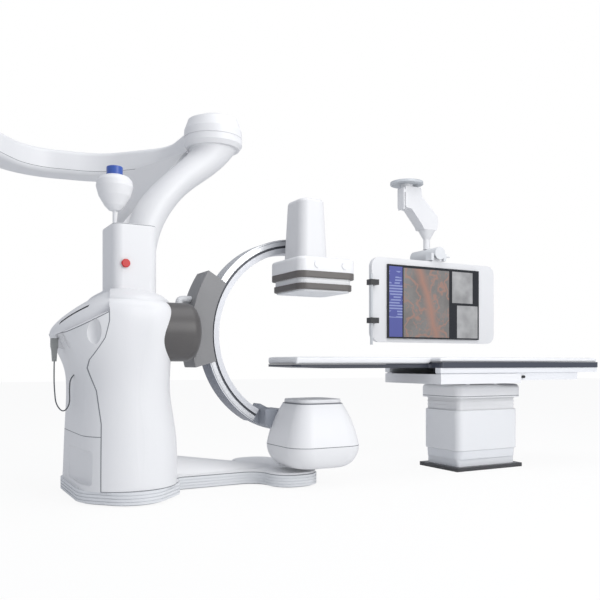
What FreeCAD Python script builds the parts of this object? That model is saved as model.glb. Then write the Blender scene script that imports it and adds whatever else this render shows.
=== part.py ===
import FreeCAD, Part
import math
import os
import Sketcher
from FreeCAD import Placement, Rotation, Vector

# Angiography system: a patient table on a telescopic pedestal, a wheeled gantry that carries
# an X-ray C-arm and a ceiling boom, and a large display on a ceiling arm.
# Millimetres. The origin is the middle of the underside of the table's floor plate.
# +X runs along the table away from the gantry, +Z is up.

SIZES = {
    # clearances
    "running_gap": 0.3,
    "shaft_gap": 0.05,
    # floor plate and pedestal of the table
    "plate_length": 710,
    "plate_width": 480,
    "plate_thickness": 31,
    "plate_bolt_span_x": 650,
    "plate_bolt_span_y": 420,
    "plate_bolt_radius": 7,
    "plinth_length": 622,
    "plinth_width": 392,
    "plinth_height": 60,
    "plinth_corner": 30,
    "foot_length": 640,
    "foot_width": 420,
    "foot_height": 67,
    "foot_taper": 6,
    "base_length": 660,
    "base_width": 450,
    "base_height": 329,
    "base_corner": 60,
    "base_wall": 10,
    "base_rim": 9,
    "base_floor": 40,
    "column_length": 260,
    "column_width": 200,
    "column_height": 529,
    "column_wall": 12,
    "column_corner": 16,
    "sleeve_clearance": 8,
    "sleeve_bottom": 337,
    "sleeve_height": 317,
    "sleeve_wall": 8,
    "sleeve_rib_pitch": 30,
    "sleeve_rib_height": 8,
    "sleeve_rib_depth": 4,
    "sleeve_first_rib": 180,
    "diaphragm_height": 12,
    "ram_bottom": 120,
    "ram_wall": 10,
    "head_length": 700,
    "head_width": 500,
    "head_bottom": 586,
    "head_height": 109,
    "head_corner": 75,
    "head_wall": 12,
    "head_roof": 10,
    "head_shoulder": 34,
    "head_rail_width": 34,
    "head_rail_length": 440,
    "head_rail_height": 15,
    "head_rail_span": 300,
    "head_rail_centre": -75,
    # carriage, rails and top of the table
    "table_centre_y": -120,
    "carriage_left": -718,
    "carriage_right": 100,
    "carriage_width": 704,
    "carriage_height": 75,
    "carriage_chamfer": 14,
    "rail_left": -720,
    "rail_right": 1000,
    "rail_bottom": 794,
    "rail_top": 832.7,
    "rail_width": 60,
    "rail_face_half": 350,
    "beam_left": -706,
    "beam_right": 770,
    "beam_bottom": 733,
    "beam_width": 60,
    "beam_inset": 12,
    "board_head": -1880,
    "board_step": -720,
    "board_foot": 1020,
    "board_width": 466,
    "board_wide": 712,
    "board_bottom": 833,
    "board_top": 861,
    "board_wide_top": 878,
    "board_ledge": 10,
    "board_tip_thickness": 17,
    "board_tip_length": 240,
    "board_step_corner": 24,
    "board_head_corner": 62,
    "board_foot_corner": 28,
    "mattress_inset": 8,
    "mattress_height": 34,
    "mattress_corner": 56,
    "mattress_rim": 10,
    "knob_radius": 11,
    "knob_length": 22,
    "knob_pin_radius": 4,
    "knob_pin_length": 20,
    "knob_x": 130,
    "knob_z": 760,
    # base of the gantry
    "gantry_centre_y": 200,
    "ring_left": -3270,
    "ring_right": -2615,
    "ring_half_width": 570,
    "ring_side_half": 330,
    "ring_radius": 245,
    "ring_corner": 225,
    "deck_half_width": 172,
    "deck_blend": 90,
    "toe_left": -1975,
    "toe_nose": -1600,
    "toe_half_width": 470,
    "toe_radius": 165,
    "toe_blend": 130,
    "skirt_bottom": 15,
    "skirt_top": 90,
    "skirt_wall": 36,
    "skirt_groove_depth": 5,
    "skirt_groove_height": 5,
    "skirt_groove_pitch": 20,
    "chassis_thickness": 12,
    "deck_inset": 10,
    "deck_thickness": 16,
    "deck_rim": 10,
    "deck_crest": 150,
    "deck_crest_end": -1790,
    "wheel_radius": 60,
    "wheel_width": 42,
    "wheel_x": -2950,
    "wheel_track": 640,
    "wheel_pocket_gap": 8,
    "axle_radius": 12,
    "bearing_block_width": 30,
    "bearing_block_length": 70,
    "caster_x": -1780,
    "caster_wheel_radius": 28,
    "caster_wheel_width": 26,
    "caster_trail": 22,
    "caster_fork_wall": 6,
    "caster_pin_radius": 8,
    "caster_axle_radius": 5,
    # covers of the gantry
    "seam_tip_x": -3356,
    "seam_tip_z": 1056,
    "seam_slope": 29.7,
    "cover_top": 1255,
    "panel_seam_z": 420,
    "panel_recess_top": 336,
    "panel_recess_depth": 12,
    "lid_centre_x": -3050,
    "lid_half_length": 372,
    "lid_half_width": 450,
    "lid_height": 90,
    "slot_length": 240,
    "slot_width": 34,
    "slot_skew": 42.2,
    "slot_along": 212,
    "slot_side": 170,
    "slot_floor": 44,
    "collar_centre_x": -2920,
    "collar_half_length": 305,
    "collar_half_width": 445,
    "collar_height": 112,
    "grip_radius_z": 82,
    "grip_radius_y": 40,
    "grip_radius_x": 42,
    # mast, neck and the instruments on it
    "mast_x": -2868,
    "mast_length": 300,
    "mast_width": 350,
    "mast_corner": 62,
    "mast_top": 1787,
    "mast_rim": 14,
    "neck_top": 2395,
    "neck_end_x": -2262,
    "pivot_radius": 40,
    "pivot_height": 45,
    "web_height": 2385,
    "estop_x": -2940,
    "estop_z": 1520,
    "estop_head_radius": 28,
    "estop_head_height": 16,
    "estop_travel": 6,
    "estop_stem_radius": 11,
    "estop_stem_depth": 24,
    "laser_x": -2966,
    "laser_stem_radius": 13,
    "laser_stem_height": 103,
    "laser_bulb_height": 240,
    "laser_bulb_foot": 46,
    "laser_bulb_radius": 122,
    "laser_bulb_top": 62,
    "laser_cap_radius": 54,
    "laser_cap_height": 58,
    "laser_pin_radius": 12,
    "laser_pin_depth": 30,
    # boom and its ceiling turret
    "boom_width": 236,
    "boom_height": 190,
    "boom_corner": 34,
    "boom_bottom": 2400,
    "boom_cap_radius": 208,
    "boom_cap_height": 238,
    "boom_cap_flat": 92,
    "boom_seam_height": 70,
    "boom_seam_depth": 5,
    "boom_end_radius": 128,
    "turret_radius": 70,
    "turret_height": 40,
    "turret_flange_radius": 160,
    "turret_flange_thickness": 25,
    "turret_bolt_circle": 130,
    "turret_bolt_radius": 6,
    # hub and carrier of the C-arm
    "iso_x": -1640,
    "iso_y": -160,
    "iso_z": 1070,
    "hub_radius": 190,
    "hub_left": -2800,
    "hub_right": -2530,
    "hub_round": 78,
    "hub_shaft_radius": 60,
    "hub_shaft_length": 80,
    "hub_bearing_radius": 150,
    "hub_bearing_length": 80,
    "arc_outer": 720,
    "arc_inner": 620,
    "arc_front": 80,
    "arc_width": 160,
    "arc_start": 70,
    "arc_end": 240,
    "arc_groove_radius": 668,
    "arc_groove_width": 16,
    "arc_groove_depth": 8,
    "carrier_start": 148,
    "carrier_end": 196,
    "carrier_outer": 838,
    "carrier_inner": 682,
    "carrier_wall": 34,
    "carrier_gap": 0.5,
    "boss_left": -2568,
    "boss_right": -2440,
    "boss_front": -60,
    "boss_half_height": 148,
    "hose_radius": 17,
    # X-ray tube side
    "tube_lid_thickness": 29,
    "tube_lid_width": 342,
    "tube_lid_corner": 88,
    "tube_upper_top": 586,
    "tube_seam": 292,
    "tube_bottom": 136,
    "tube_width": 565,
    "tube_corner": 150,
    "tube_upper_width": 362,
    "tube_upper_corner": 96,
    "tube_lower_width": 360,
    "tube_lower_corner": 120,
    "tube_belly": 225,
    "tube_sweep_radius": 970,
    "cavity_width": 240,
    "cavity_height": 130,
    "insert_radius": 62,
    "collimator_width": 170,
    "bracket_width": 120,
    # detector side
    "detector_size": 468,
    "detector_bottom": 1365,
    "panel_height": 10,
    "lower_band_height": 42,
    "lower_band_size": 444,
    "neck_height": 38,
    "neck_size": 424,
    "upper_band_height": 45,
    "cover_height": 100,
    "cover_corner": 60,
    "band_corner": 70,
    "cover_shoulder": 26,
    "bump_radius": 25,
    "bump_height": 6,
    "tower_height": 430,
    "tower_offset_x": -45,
    "tower_offset_y": 20,
    "tower_length": 235,
    "tower_width": 290,
    "tower_corner": 62,
    "tower_taper": 2.4,
    "tower_crown": 30,
    "guide_width": 60,
    "guide_depth": 24,
    "guide_low": 100,
    "guide_height": 150,
    "detector_down": 152,
    # display and its ceiling arm
    "display_arm_x": 135,
    "display_arm_y": 1060,
    "ceiling_disc_radius": 162,
    "ceiling_disc_thickness": 23.3,
    "ceiling_disc_bottom": 2632,
    "ceiling_bolt_circle": 120,
    "ceiling_bolt_radius": 5.5,
    "arm_width": 130,
    "arm_fin_thickness": 12,
    "post_x": 385,
    "post_radius": 33,
    "post_top": 2200,
    "cone_radius": 84,
    "cone_height": 90,
    "post_bottom": 2010,
    "barrel_radius": 62,
    "barrel_front": 850,
    "barrel_length": 400,
    "yoke_bottom": 1878,
    "yoke_width": 190,
    "yoke_depth": 86,
    "lug_width": 120,
    "lug_depth": 46,
    "lug_top": 1908,
    "lug_room": 34,
    "tilt_y": 913,
    "tilt_z": 1893,
    "tilt_pin_radius": 9,
    "screen_width": 1134,
    "screen_height": 700,
    "screen_depth": 80,
    "screen_front": 878,
    "screen_centre_x": 345,
    "screen_bottom": 1105,
    "frame_width": 1530,
    "frame_height": 800,
    "frame_bottom": 1068,
    "frame_centre_x": 372,
    "frame_depth": 46,
    "frame_front": 900,
    "frame_corner": 92,
    "handle_radius": 13,
    "handle_length": 660,
    "handle_bottom": 1040,
    "handle_offset": 37,
    "handle_y": 850,
    "clamp_height": 50,
    "clamp_low": 200,
    "clamp_high": 555,
    # handset on the left of the gantry
    "handset_width": 58,
    "handset_thickness": 40,
    "handset_height": 150,
    "cord_radius": 4.2,
}

os.makedirs("parts", exist_ok=True)
doc = FreeCAD.newDocument("angiography_system")
sheet = doc.addObject("Spreadsheet::Sheet", "sizes")
for row, (alias, number) in enumerate(SIZES.items(), start=1):
    sheet.set(f"A{row}", alias)
    sheet.set(f"B{row}", str(number))
    sheet.setAlias(f"B{row}", alias)
doc.recompute()

SUBPARTS = []


class Size:
    """A length or angle that knows its number and the sheet expression it comes from."""

    def __init__(self, number, text):
        self.number = number
        self.text = text

    def combine(self, other, sign, swapped=False):
        other = other if isinstance(other, Size) else Size(other, repr(other))
        left, right = (other, self) if swapped else (self, other)
        results = {
            "+": left.number + right.number,
            "-": left.number - right.number,
            "*": left.number * right.number,
            "/": left.number / right.number if right.number else 0.0,
        }
        return Size(results[sign], f"({left.text} {sign} {right.text})")

    def __add__(self, other):
        return self.combine(other, "+")

    def __radd__(self, other):
        return self.combine(other, "+", True)

    def __sub__(self, other):
        return self.combine(other, "-")

    def __rsub__(self, other):
        return self.combine(other, "-", True)

    def __mul__(self, other):
        return self.combine(other, "*")

    def __rmul__(self, other):
        return self.combine(other, "*", True)

    def __truediv__(self, other):
        return self.combine(other, "/")

    def __neg__(self):
        return self.combine(0, "-", True)

    def __float__(self):
        return float(self.number)


class Sheet:
    """Gives each alias of the sheet as a Size, such as size.plate_length."""

    def __getattr__(self, alias):
        return Size(float(sheet.get(alias)), f"sizes.{alias}")


size = Sheet()

PATHS = {
    "x": "Placement.Base.x",
    "y": "Placement.Base.y",
    "z": "Placement.Base.z",
    "lift": "AttachmentOffset.Base.z",
}


def bind(item, **properties):
    """Bind each property to its sheet expression, or set it where it is a plain number."""
    for name, amount in properties.items():
        text = amount.text if isinstance(amount, Size) else repr(float(amount))
        item.setExpression(PATHS.get(name, name), text)
    return item


def vector(x, y, z):
    return Vector(float(x), float(y), float(z))


def keep(item, label):
    """Count an object as a sub-part: its label names its file."""
    item.Label = label
    SUBPARTS.append(item)
    return item


# sketches and the features made from them


def new_body(name):
    return doc.addObject("PartDesign::Body", name)


def sketch_on(body, role, lift=0):
    """A sketch on one of the body's own origin planes, lifted along the plane's normal."""
    sketch = body.newObject("Sketcher::SketchObject", body.Name + "_sketch")
    plane = next(item for item in body.Origin.OriginFeatures if item.Role == role)
    sketch.AttachmentSupport = [(plane, "")]
    sketch.MapMode = "FlatFace"
    bind(sketch, lift=lift)
    return sketch


def hold(sketch, kind, ends, amount):
    """Add one dimension to a sketch and bind it to the sheet."""
    index = sketch.addConstraint(Sketcher.Constraint(kind, *ends, float(amount)))
    if isinstance(amount, Size):
        sketch.setExpression(f"Constraints[{index}]", amount.text)


def polygon(sketch, corners):
    """A closed outline whose corners are each held at their own x and y."""
    first = sketch.GeometryCount
    points = [vector(x, y, 0) for x, y in corners]
    for start, end in zip(points, points[1:] + points[:1]):
        sketch.addGeometry(Part.LineSegment(start, end), False)
    for index, (x, y) in enumerate(corners):
        line = first + index
        before = first + (index - 1) % len(corners)
        sketch.addConstraint(Sketcher.Constraint("Coincident", before, 2, line, 1))
        hold(sketch, "DistanceX", (-1, 1, line, 1), x)
        hold(sketch, "DistanceY", (-1, 1, line, 1), y)


def rectangle(sketch, width, depth, x=0, y=0):
    """A rectangle centred at x, y."""
    half_x, half_y = width / 2, depth / 2
    polygon(
        sketch,
        [
            (x - half_x, y - half_y),
            (x + half_x, y - half_y),
            (x + half_x, y + half_y),
            (x - half_x, y + half_y),
        ],
    )


def circle(sketch, radius, x=0, y=0):
    ring = sketch.addGeometry(
        Part.Circle(vector(x, y, 0), Vector(0, 0, 1), float(radius)), False
    )
    hold(sketch, "DistanceX", (-1, 1, ring, 3), x)
    hold(sketch, "DistanceY", (-1, 1, ring, 3), y)
    hold(sketch, "Radius", (ring,), radius)


def pad(body, sketch, length, taper=0):
    feature = body.newObject("PartDesign::Pad", body.Name + "_pad")
    feature.Profile = sketch
    bind(feature, Length=length)
    if taper:
        bind(feature, TaperAngle=taper)
    return feature


def pocket(body, sketch, length, reversed_cut):
    """Cut a sketch into the body, and check that material really went."""
    doc.recompute()
    before = body.Tip.Shape.Volume
    feature = body.newObject("PartDesign::Pocket", body.Name + "_pocket")
    feature.Profile = sketch
    feature.Reversed = reversed_cut
    bind(feature, Length=length)
    doc.recompute()
    if feature.Shape.Volume >= before - 1:
        raise RuntimeError(f"{body.Name}: a pocket cuts nothing")
    return feature


def dress(body, kind, chosen, **amounts):
    """Fillet or chamfer the edges of the body's tip that a test picks."""
    doc.recompute()
    base = body.Tip
    names = [
        f"Edge{index}"
        for index, edge in enumerate(base.Shape.Edges, start=1)
        if chosen(edge)
    ]
    if not names:
        raise RuntimeError(f"{body.Name}: no edge to dress")
    feature = body.newObject(f"PartDesign::{kind}", f"{body.Name}_{kind.lower()}")
    feature.Base = (base, names)
    bind(feature, **amounts)
    return feature


def revolve(body, sketch):
    feature = body.newObject("PartDesign::Revolution", body.Name + "_turn")
    feature.Profile = sketch
    feature.ReferenceAxis = (sketch, ["V_Axis"])
    feature.Angle = 360
    return feature


def upright(edge):
    start, end = edge.Vertexes[0].Point, edge.Vertexes[-1].Point
    return abs(end.z - start.z) > 1 and (end - start).cross(Vector(0, 0, 1)).Length < 0.01


def level(height):
    """A test for edges that lie in the horizontal plane at a height."""

    def test(edge):
        box = edge.BoundBox
        return abs(box.ZMin - float(height)) < 0.01 and abs(box.ZMax - float(height)) < 0.01

    return test


def rounded_block(name, length, width, height, corner, at, rim=None, foot=None, taper=0):
    """A block standing on at, its upright edges rounded, and its rim and foot if asked."""
    body = new_body(name)
    sketch = sketch_on(body, "XY_Plane")
    rectangle(sketch, length, width)
    pad(body, sketch, height, taper)

    def side(edge):
        return abs(edge.Vertexes[0].Z - edge.Vertexes[-1].Z) > 1

    dress(body, "Fillet", side, Radius=corner)
    if rim:
        dress(body, "Fillet", level(height), Radius=rim)
    if foot:
        dress(body, "Fillet", level(0), Radius=foot)
    bind(body, x=at[0], y=at[1], z=at[2])
    return body


# primitives and booleans


def turned(item, axis, angle):
    """Turn an object about its own origin; the angle may come from the sheet."""
    item.Placement = Placement(item.Placement.Base, Rotation(Vector(*axis), float(angle)))
    if isinstance(angle, Size):
        item.setExpression("Placement.Rotation.Angle", angle.text)
    return item


def box(name, length, width, height, at):
    """A box from its low corner."""
    item = doc.addObject("Part::Box", name)
    bind(item, Length=length, Width=width, Height=height, x=at[0], y=at[1], z=at[2])
    return item


def cylinder(name, radius, height, at, axis=(0, 0, 1)):
    """A cylinder from the centre of its foot, along an axis of the frame."""
    item = doc.addObject("Part::Cylinder", name)
    turn = {(1, 0, 0): ((0, 1, 0), 90), (0, 1, 0): ((1, 0, 0), -90), (0, -1, 0): ((1, 0, 0), 90)}
    if axis in turn:
        turned(item, *turn[axis])
    bind(item, Radius=radius, Height=height, x=at[0], y=at[1], z=at[2])
    return item


def sector(name, radius, width, start, end):
    """A slice of a disc about the isocentre's Y axis, between two angles from +X."""
    item = cylinder(name, radius, width, (size.iso_x, size.arc_front, size.iso_z), (0, 1, 0))
    item.Placement = Placement(
        item.Placement.Base, Rotation(Vector(0, 1, 0), -float(end)) * Rotation(Vector(1, 0, 0), -90)
    )
    bind(item, Angle=end - start)
    return item


def ellipsoid(name, radius_x, radius_y, radius_z, at, dome=False):
    item = doc.addObject("Part::Ellipsoid", name)
    bind(item, Radius1=radius_z, Radius2=radius_x, Radius3=radius_y)
    if dome:
        item.Angle1 = 0
    bind(item, x=at[0], y=at[1], z=at[2])
    return item


def cut(name, base, *tools):
    item = doc.addObject("Part::Cut", name)
    item.Base = base
    item.Tool = tools[0] if len(tools) == 1 else fuse(name + "_tools", *tools)
    return item


def fuse(name, *shapes):
    item = doc.addObject("Part::MultiFuse", name)
    item.Shapes = list(shapes)
    return item


def common(name, first, second):
    item = doc.addObject("Part::MultiCommon", name)
    item.Shapes = [first, second]
    return item


def feature(name, shape):
    item = doc.addObject("Part::Feature", name)
    item.Shape = shape
    return item


def prism(name, corners, low_y, high_y):
    """An outline in the XZ plane, given as x and z, carried from one y to another."""
    body = new_body(name)
    sketch = sketch_on(body, "XZ_Plane")
    polygon(sketch, corners)
    pad(body, sketch, high_y - low_y)
    bind(body, y=high_y)
    return body


def rounded_wire(corners, height):
    """Corners (x, y, radius) joined by straight lines and tangent arcs at one height."""
    edges = []
    starts = []
    count = len(corners)
    for index, (x, y, radius) in enumerate(corners):
        here = vector(x, y, height)
        before = vector(*corners[index - 1][:2], height) - here
        after = vector(*corners[(index + 1) % count][:2], height) - here
        before.normalize()
        after.normalize()
        half = before.getAngle(after) / 2
        tangent = float(radius) / math.tan(half)
        middle = before + after
        middle.normalize()
        centre = here + middle * (float(radius) / math.sin(half))
        top = centre - middle * float(radius)
        starts.append((here + before * tangent, top, here + after * tangent))
    for index in range(count):
        arc_start, arc_top, arc_end = starts[index]
        next_start = starts[(index + 1) % count][0]
        edges.append(Part.Arc(arc_start, arc_top, arc_end).toShape())
        if arc_end.distanceToPoint(next_start) > 0.001:
            edges.append(Part.LineSegment(arc_end, next_start).toShape())
    return Part.Wire(edges)


def path_wire(points, radii):
    """An open path: straight runs joined by tangent arcs of the given radii."""
    edges = []
    position = points[0]
    for index in range(1, len(points) - 1):
        here = points[index]
        before = (points[index - 1] - here).normalize()
        after = (points[index + 1] - here).normalize()
        half = before.getAngle(after) / 2
        radius = radii[index - 1]
        tangent = radius / math.tan(half)
        middle = (before + after).normalize()
        top = here + middle * (radius / math.sin(half) - radius)
        arc_start = here + before * tangent
        arc_end = here + after * tangent
        edges.append(Part.LineSegment(position, arc_start).toShape())
        edges.append(Part.Arc(arc_start, top, arc_end).toShape())
        position = arc_end
    edges.append(Part.LineSegment(position, points[-1]).toShape())
    return Part.Wire(edges)


def bend_radii(points):
    """For a limp cord: each arc is 0.45 of its shorter run over the tangent of half the turn."""
    radii = []
    for before, here, after in zip(points, points[1:], points[2:]):
        turn = math.pi - (before - here).getAngle(after - here)
        shorter = min((before - here).Length, (after - here).Length)
        radii.append(0.45 * shorter / math.tan(turn / 2))
    return radii


def tube_along(points, radius, radii):
    """A round tube along a path, with its volume checked against section times length."""
    path = path_wire(points, radii)
    direction = points[1] - points[0]
    ring = Part.Wire([Part.Circle(points[0], direction, radius).toShape()])
    solid = path.makePipeShell([ring], True, False)
    expected = math.pi * radius**2 * path.Length
    if abs(solid.Volume - expected) > 0.01 * expected:
        raise RuntimeError("a tube's volume is wrong")
    return solid, path.Length


# patient table


def make_floor_plate():
    body = new_body("floor_plate_body")
    sketch = sketch_on(body, "XY_Plane")
    rectangle(sketch, size.plate_length, size.plate_width)
    for side_x in (-1, 1):
        for side_y in (-1, 1):
            circle(
                sketch,
                size.plate_bolt_radius,
                size.plate_bolt_span_x / 2 * side_x,
                size.plate_bolt_span_y / 2 * side_y,
            )
    pad(body, sketch, size.plate_thickness)
    dress(body, "Chamfer", upright_line, Size=4)
    keep(body, "floor_plate")


def upright_line(edge):
    return upright(edge) and edge.Curve.TypeId == "Part::GeomLine"


def make_pedestal():
    foot_z = size.plate_thickness + size.plinth_height
    base_z = foot_z + size.foot_height
    hollow = box(
        "pedestal_hollow",
        size.column_length + 2,
        size.column_width + 2,
        size.base_height * 3,
        (-size.column_length / 2 - 1, -size.column_width / 2 - 1, 0),
    )
    plinth = rounded_block(
        "plinth_block",
        size.plinth_length,
        size.plinth_width,
        size.plinth_height,
        size.plinth_corner,
        (0, 0, size.plate_thickness),
    )
    foot = rounded_block(
        "foot_block",
        size.foot_length,
        size.foot_width,
        size.foot_height,
        size.base_corner,
        (0, 0, foot_z),
        taper=size.foot_taper / 3,
    )
    keep(cut("plinth_cut", fuse("plinth_fuse", plinth, foot), hollow), "pedestal_plinth")

    shell = rounded_block(
        "base_block",
        size.base_length,
        size.base_width,
        size.base_height,
        size.base_corner,
        (0, 0, base_z),
        rim=size.base_rim,
        foot=size.base_rim,
    )
    cavity = rounded_block(
        "base_cavity",
        size.base_length - size.base_wall * 2,
        size.base_width - size.base_wall * 2,
        size.base_height,
        size.base_corner - size.base_wall,
        (0, 0, base_z + size.base_floor),
    )
    hollow_up = box(
        "base_hollow",
        size.column_length + 2,
        size.column_width + 2,
        size.base_height * 2,
        (-size.column_length / 2 - 1, -size.column_width / 2 - 1, 0),
    )
    keep(cut("base_cut", shell, cavity, hollow_up), "pedestal_base")

    outer = rounded_block(
        "column_outer",
        size.column_length,
        size.column_width,
        size.column_height,
        size.column_corner,
        (0, 0, size.plate_thickness),
    )
    bore = rounded_block(
        "column_bore",
        size.column_length - size.column_wall * 2,
        size.column_width - size.column_wall * 2,
        size.column_height,
        size.column_corner / 2,
        (0, 0, size.plate_thickness),
    )
    keep(cut("column_cut", outer, bore), "lift_column")


def make_sleeve():
    length = size.base_length - (size.base_wall + size.sleeve_clearance) * 2
    width = size.base_width - (size.base_wall + size.sleeve_clearance) * 2
    corner = size.base_corner - size.base_wall - size.sleeve_clearance
    wall = size.sleeve_wall
    outer = rounded_block(
        "sleeve_outer", length, width, size.sleeve_height, corner, (0, 0, size.sleeve_bottom)
    )
    ribs = []
    for index in range(3):
        rib = rounded_block(
            f"sleeve_rib_{index}",
            length + size.sleeve_rib_depth * 2,
            width + size.sleeve_rib_depth * 2,
            size.sleeve_rib_height,
            corner + size.sleeve_rib_depth,
            (0, 0, size.sleeve_bottom + size.sleeve_first_rib + size.sleeve_rib_pitch * index),
        )
        ribs.append(rib)
    inner = rounded_block(
        "sleeve_inner",
        length - wall * 2,
        width - wall * 2,
        size.sleeve_height,
        corner - wall,
        (0, 0, size.sleeve_bottom + size.diaphragm_height),
    )
    guide = rounded_block(
        "sleeve_guide",
        size.column_length + size.running_gap * 2,
        size.column_width + size.running_gap * 2,
        size.sleeve_height,
        size.column_corner + size.running_gap,
        (0, 0, size.sleeve_bottom - size.diaphragm_height),
    )
    keep(cut("sleeve_cut", fuse("sleeve_fuse", outer, *ribs), inner, guide), "pedestal_sleeve")


def make_head():
    top = size.head_bottom + size.head_height
    shell = rounded_block(
        "head_block",
        size.head_length,
        size.head_width,
        size.head_height,
        size.head_corner,
        (0, 0, size.head_bottom),
        rim=size.head_shoulder,
    )
    cavity = rounded_block(
        "head_cavity",
        size.head_length - size.head_wall * 2,
        size.head_width - size.head_wall * 2,
        size.head_height - size.head_roof,
        size.head_corner - size.head_wall,
        (0, 0, size.head_bottom),
        rim=size.head_shoulder - size.head_wall,
    )
    rails = [
        box(
            f"head_rail_{index}",
            size.head_rail_width,
            size.head_rail_length,
            size.head_rail_height,
            (
                size.head_rail_centre + size.head_rail_span / 2 * side - size.head_rail_width / 2,
                -size.head_rail_length / 2,
                top,
            ),
        )
        for index, side in enumerate((-1, 1))
    ]
    keep(fuse("head_fuse", cut("head_cut", shell, cavity), *rails), "pedestal_head")

    length = size.column_length - (size.column_wall + size.running_gap) * 2
    width = size.column_width - (size.column_wall + size.running_gap) * 2
    height = top - size.head_roof - size.ram_bottom
    outer = rounded_block(
        "ram_outer", length, width, height, size.column_corner / 2, (0, 0, size.ram_bottom)
    )
    bore = rounded_block(
        "ram_bore",
        length - size.ram_wall * 2,
        width - size.ram_wall * 2,
        height,
        size.column_corner / 4,
        (0, 0, size.ram_bottom - size.ram_wall),
    )
    keep(cut("ram_cut", outer, bore), "lift_ram")


def make_rail(name, side):
    """One long rail: a broad upper channel with a narrower beam under it, set inward."""
    body = new_body(name + "_body")
    upper = sketch_on(body, "YZ_Plane", size.rail_left)
    face = size.table_centre_y + size.rail_face_half * side
    middle = face - size.rail_width / 2 * side
    rectangle(
        upper,
        size.rail_width,
        size.rail_top - size.rail_bottom,
        middle,
        (size.rail_top + size.rail_bottom) / 2,
    )
    pad(body, upper, size.rail_right - size.rail_left)
    lower = sketch_on(body, "YZ_Plane", size.beam_left)
    middle = face - (size.beam_inset + size.beam_width / 2) * side
    rectangle(
        lower,
        size.beam_width,
        size.rail_bottom - size.beam_bottom + 1,
        middle,
        (size.rail_bottom + size.beam_bottom + 1) / 2,
    )
    pad(body, lower, size.beam_right - size.beam_left)
    return body


def make_carriage():
    front = make_rail("float_rail_front", -1)
    rear = make_rail("float_rail_rear", 1)
    keep(rear, "float_rail_rear")
    bottom = size.head_bottom + size.head_height + size.head_rail_height + size.running_gap
    half = size.carriage_width / 2
    top = bottom + size.carriage_height
    chamfer = size.carriage_chamfer
    block = prism(
        "carriage_block",
        [
            (size.carriage_left, bottom),
            (size.carriage_right, bottom),
            (size.carriage_right, top - chamfer),
            (size.carriage_right - chamfer * 2, top),
            (size.carriage_left, top),
        ],
        size.table_centre_y - half,
        size.table_centre_y + half,
    )
    pin = cylinder(
        "knob_hole",
        size.knob_pin_radius + size.shaft_gap,
        size.knob_pin_length + size.running_gap,
        (size.knob_x, beam_face(), size.knob_z),
        (0, 1, 0),
    )
    drilled = cut("float_rail_drilled", front, pin)
    keep(drilled, "float_rail_front")
    keep(cut("carriage_cut", block, drilled, rear), "lateral_carriage")


def beam_face():
    """The y of the front face of the front rail's lower beam."""
    return size.table_centre_y - size.rail_face_half + size.beam_inset


def make_knob():
    body = new_body("brake_knob_body")
    sketch = sketch_on(body, "XZ_Plane")
    circle(sketch, size.knob_radius)
    pad(body, sketch, size.knob_length)
    dress(body, "Fillet", lambda edge: edge.BoundBox.YMax < -1, Radius=size.knob_radius / 4)
    pin = sketch_on(body, "XZ_Plane", -size.knob_pin_length)
    circle(pin, size.knob_pin_radius)
    pad(body, pin, size.knob_pin_length + 1)
    bind(body, x=size.knob_x, y=beam_face() - size.running_gap, z=size.knob_z)
    keep(body, "brake_knob")


def stepped_plan(inset):
    """The plan of the top: narrow under the patient's chest, broad over the rails."""
    y = size.table_centre_y
    slim = size.board_width / 2 - inset
    wide = size.board_wide / 2 - inset
    head = size.board_head + inset
    step = size.board_step + inset
    foot = size.board_foot - inset
    return [
        (head, y - slim),
        (step, y - slim),
        (step, y - wide),
        (foot, y - wide),
        (foot, y + wide),
        (step, y + wide),
        (step, y + slim),
        (head, y + slim),
    ]


def at_x(x):
    """A test for upright edges at one x."""

    def test(edge):
        return upright(edge) and abs(edge.Vertexes[0].X - float(x)) < 0.1

    return test


def make_tabletop():
    board = new_body("board")
    plan = sketch_on(board, "XY_Plane", size.board_bottom)
    polygon(plan, stepped_plan(0))
    pad(board, plan, size.board_top - size.board_bottom)
    thick = sketch_on(board, "XY_Plane", size.board_top)
    start = size.board_step + size.board_ledge
    rectangle(
        thick,
        size.board_foot - start,
        size.board_wide,
        (size.board_foot + start) / 2,
        size.table_centre_y,
    )
    pad(board, thick, size.board_wide_top - size.board_top)
    dress(board, "Fillet", at_x(size.board_head), Radius=size.board_head_corner)
    dress(board, "Fillet", at_x(size.board_foot), Radius=size.board_foot_corner)
    dress(board, "Fillet", at_x(size.board_step), Radius=size.board_step_corner)
    wedge = prism(
        "board_wedge",
        [
            (size.board_head - 1, size.board_bottom - 1),
            (size.board_head + size.board_tip_length, size.board_bottom - 1),
            (size.board_head - 1, size.board_top - size.board_tip_thickness),
        ],
        size.table_centre_y - size.board_width,
        size.table_centre_y + size.board_width,
    )
    keep(cut("board_cut", board, wedge), "tabletop")

    inset = size.mattress_inset
    pad_body = new_body("mattress_body")
    plan = sketch_on(pad_body, "XY_Plane", size.board_wide_top)
    polygon(plan, stepped_plan(inset))
    pad(pad_body, plan, size.mattress_height)
    under = sketch_on(pad_body, "XY_Plane", size.board_top)
    end = size.board_step + size.board_ledge
    head = size.board_head + inset
    rectangle(
        under,
        end - head,
        size.board_width - inset * 2,
        (end + head) / 2,
        size.table_centre_y,
    )
    pad(pad_body, under, size.board_wide_top - size.board_top)
    dress(pad_body, "Fillet", at_x(head), Radius=size.mattress_corner)
    dress(
        pad_body,
        "Fillet",
        level(size.board_wide_top + size.mattress_height),
        Radius=size.mattress_rim,
    )
    keep(pad_body, "mattress")


# base of the gantry


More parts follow.
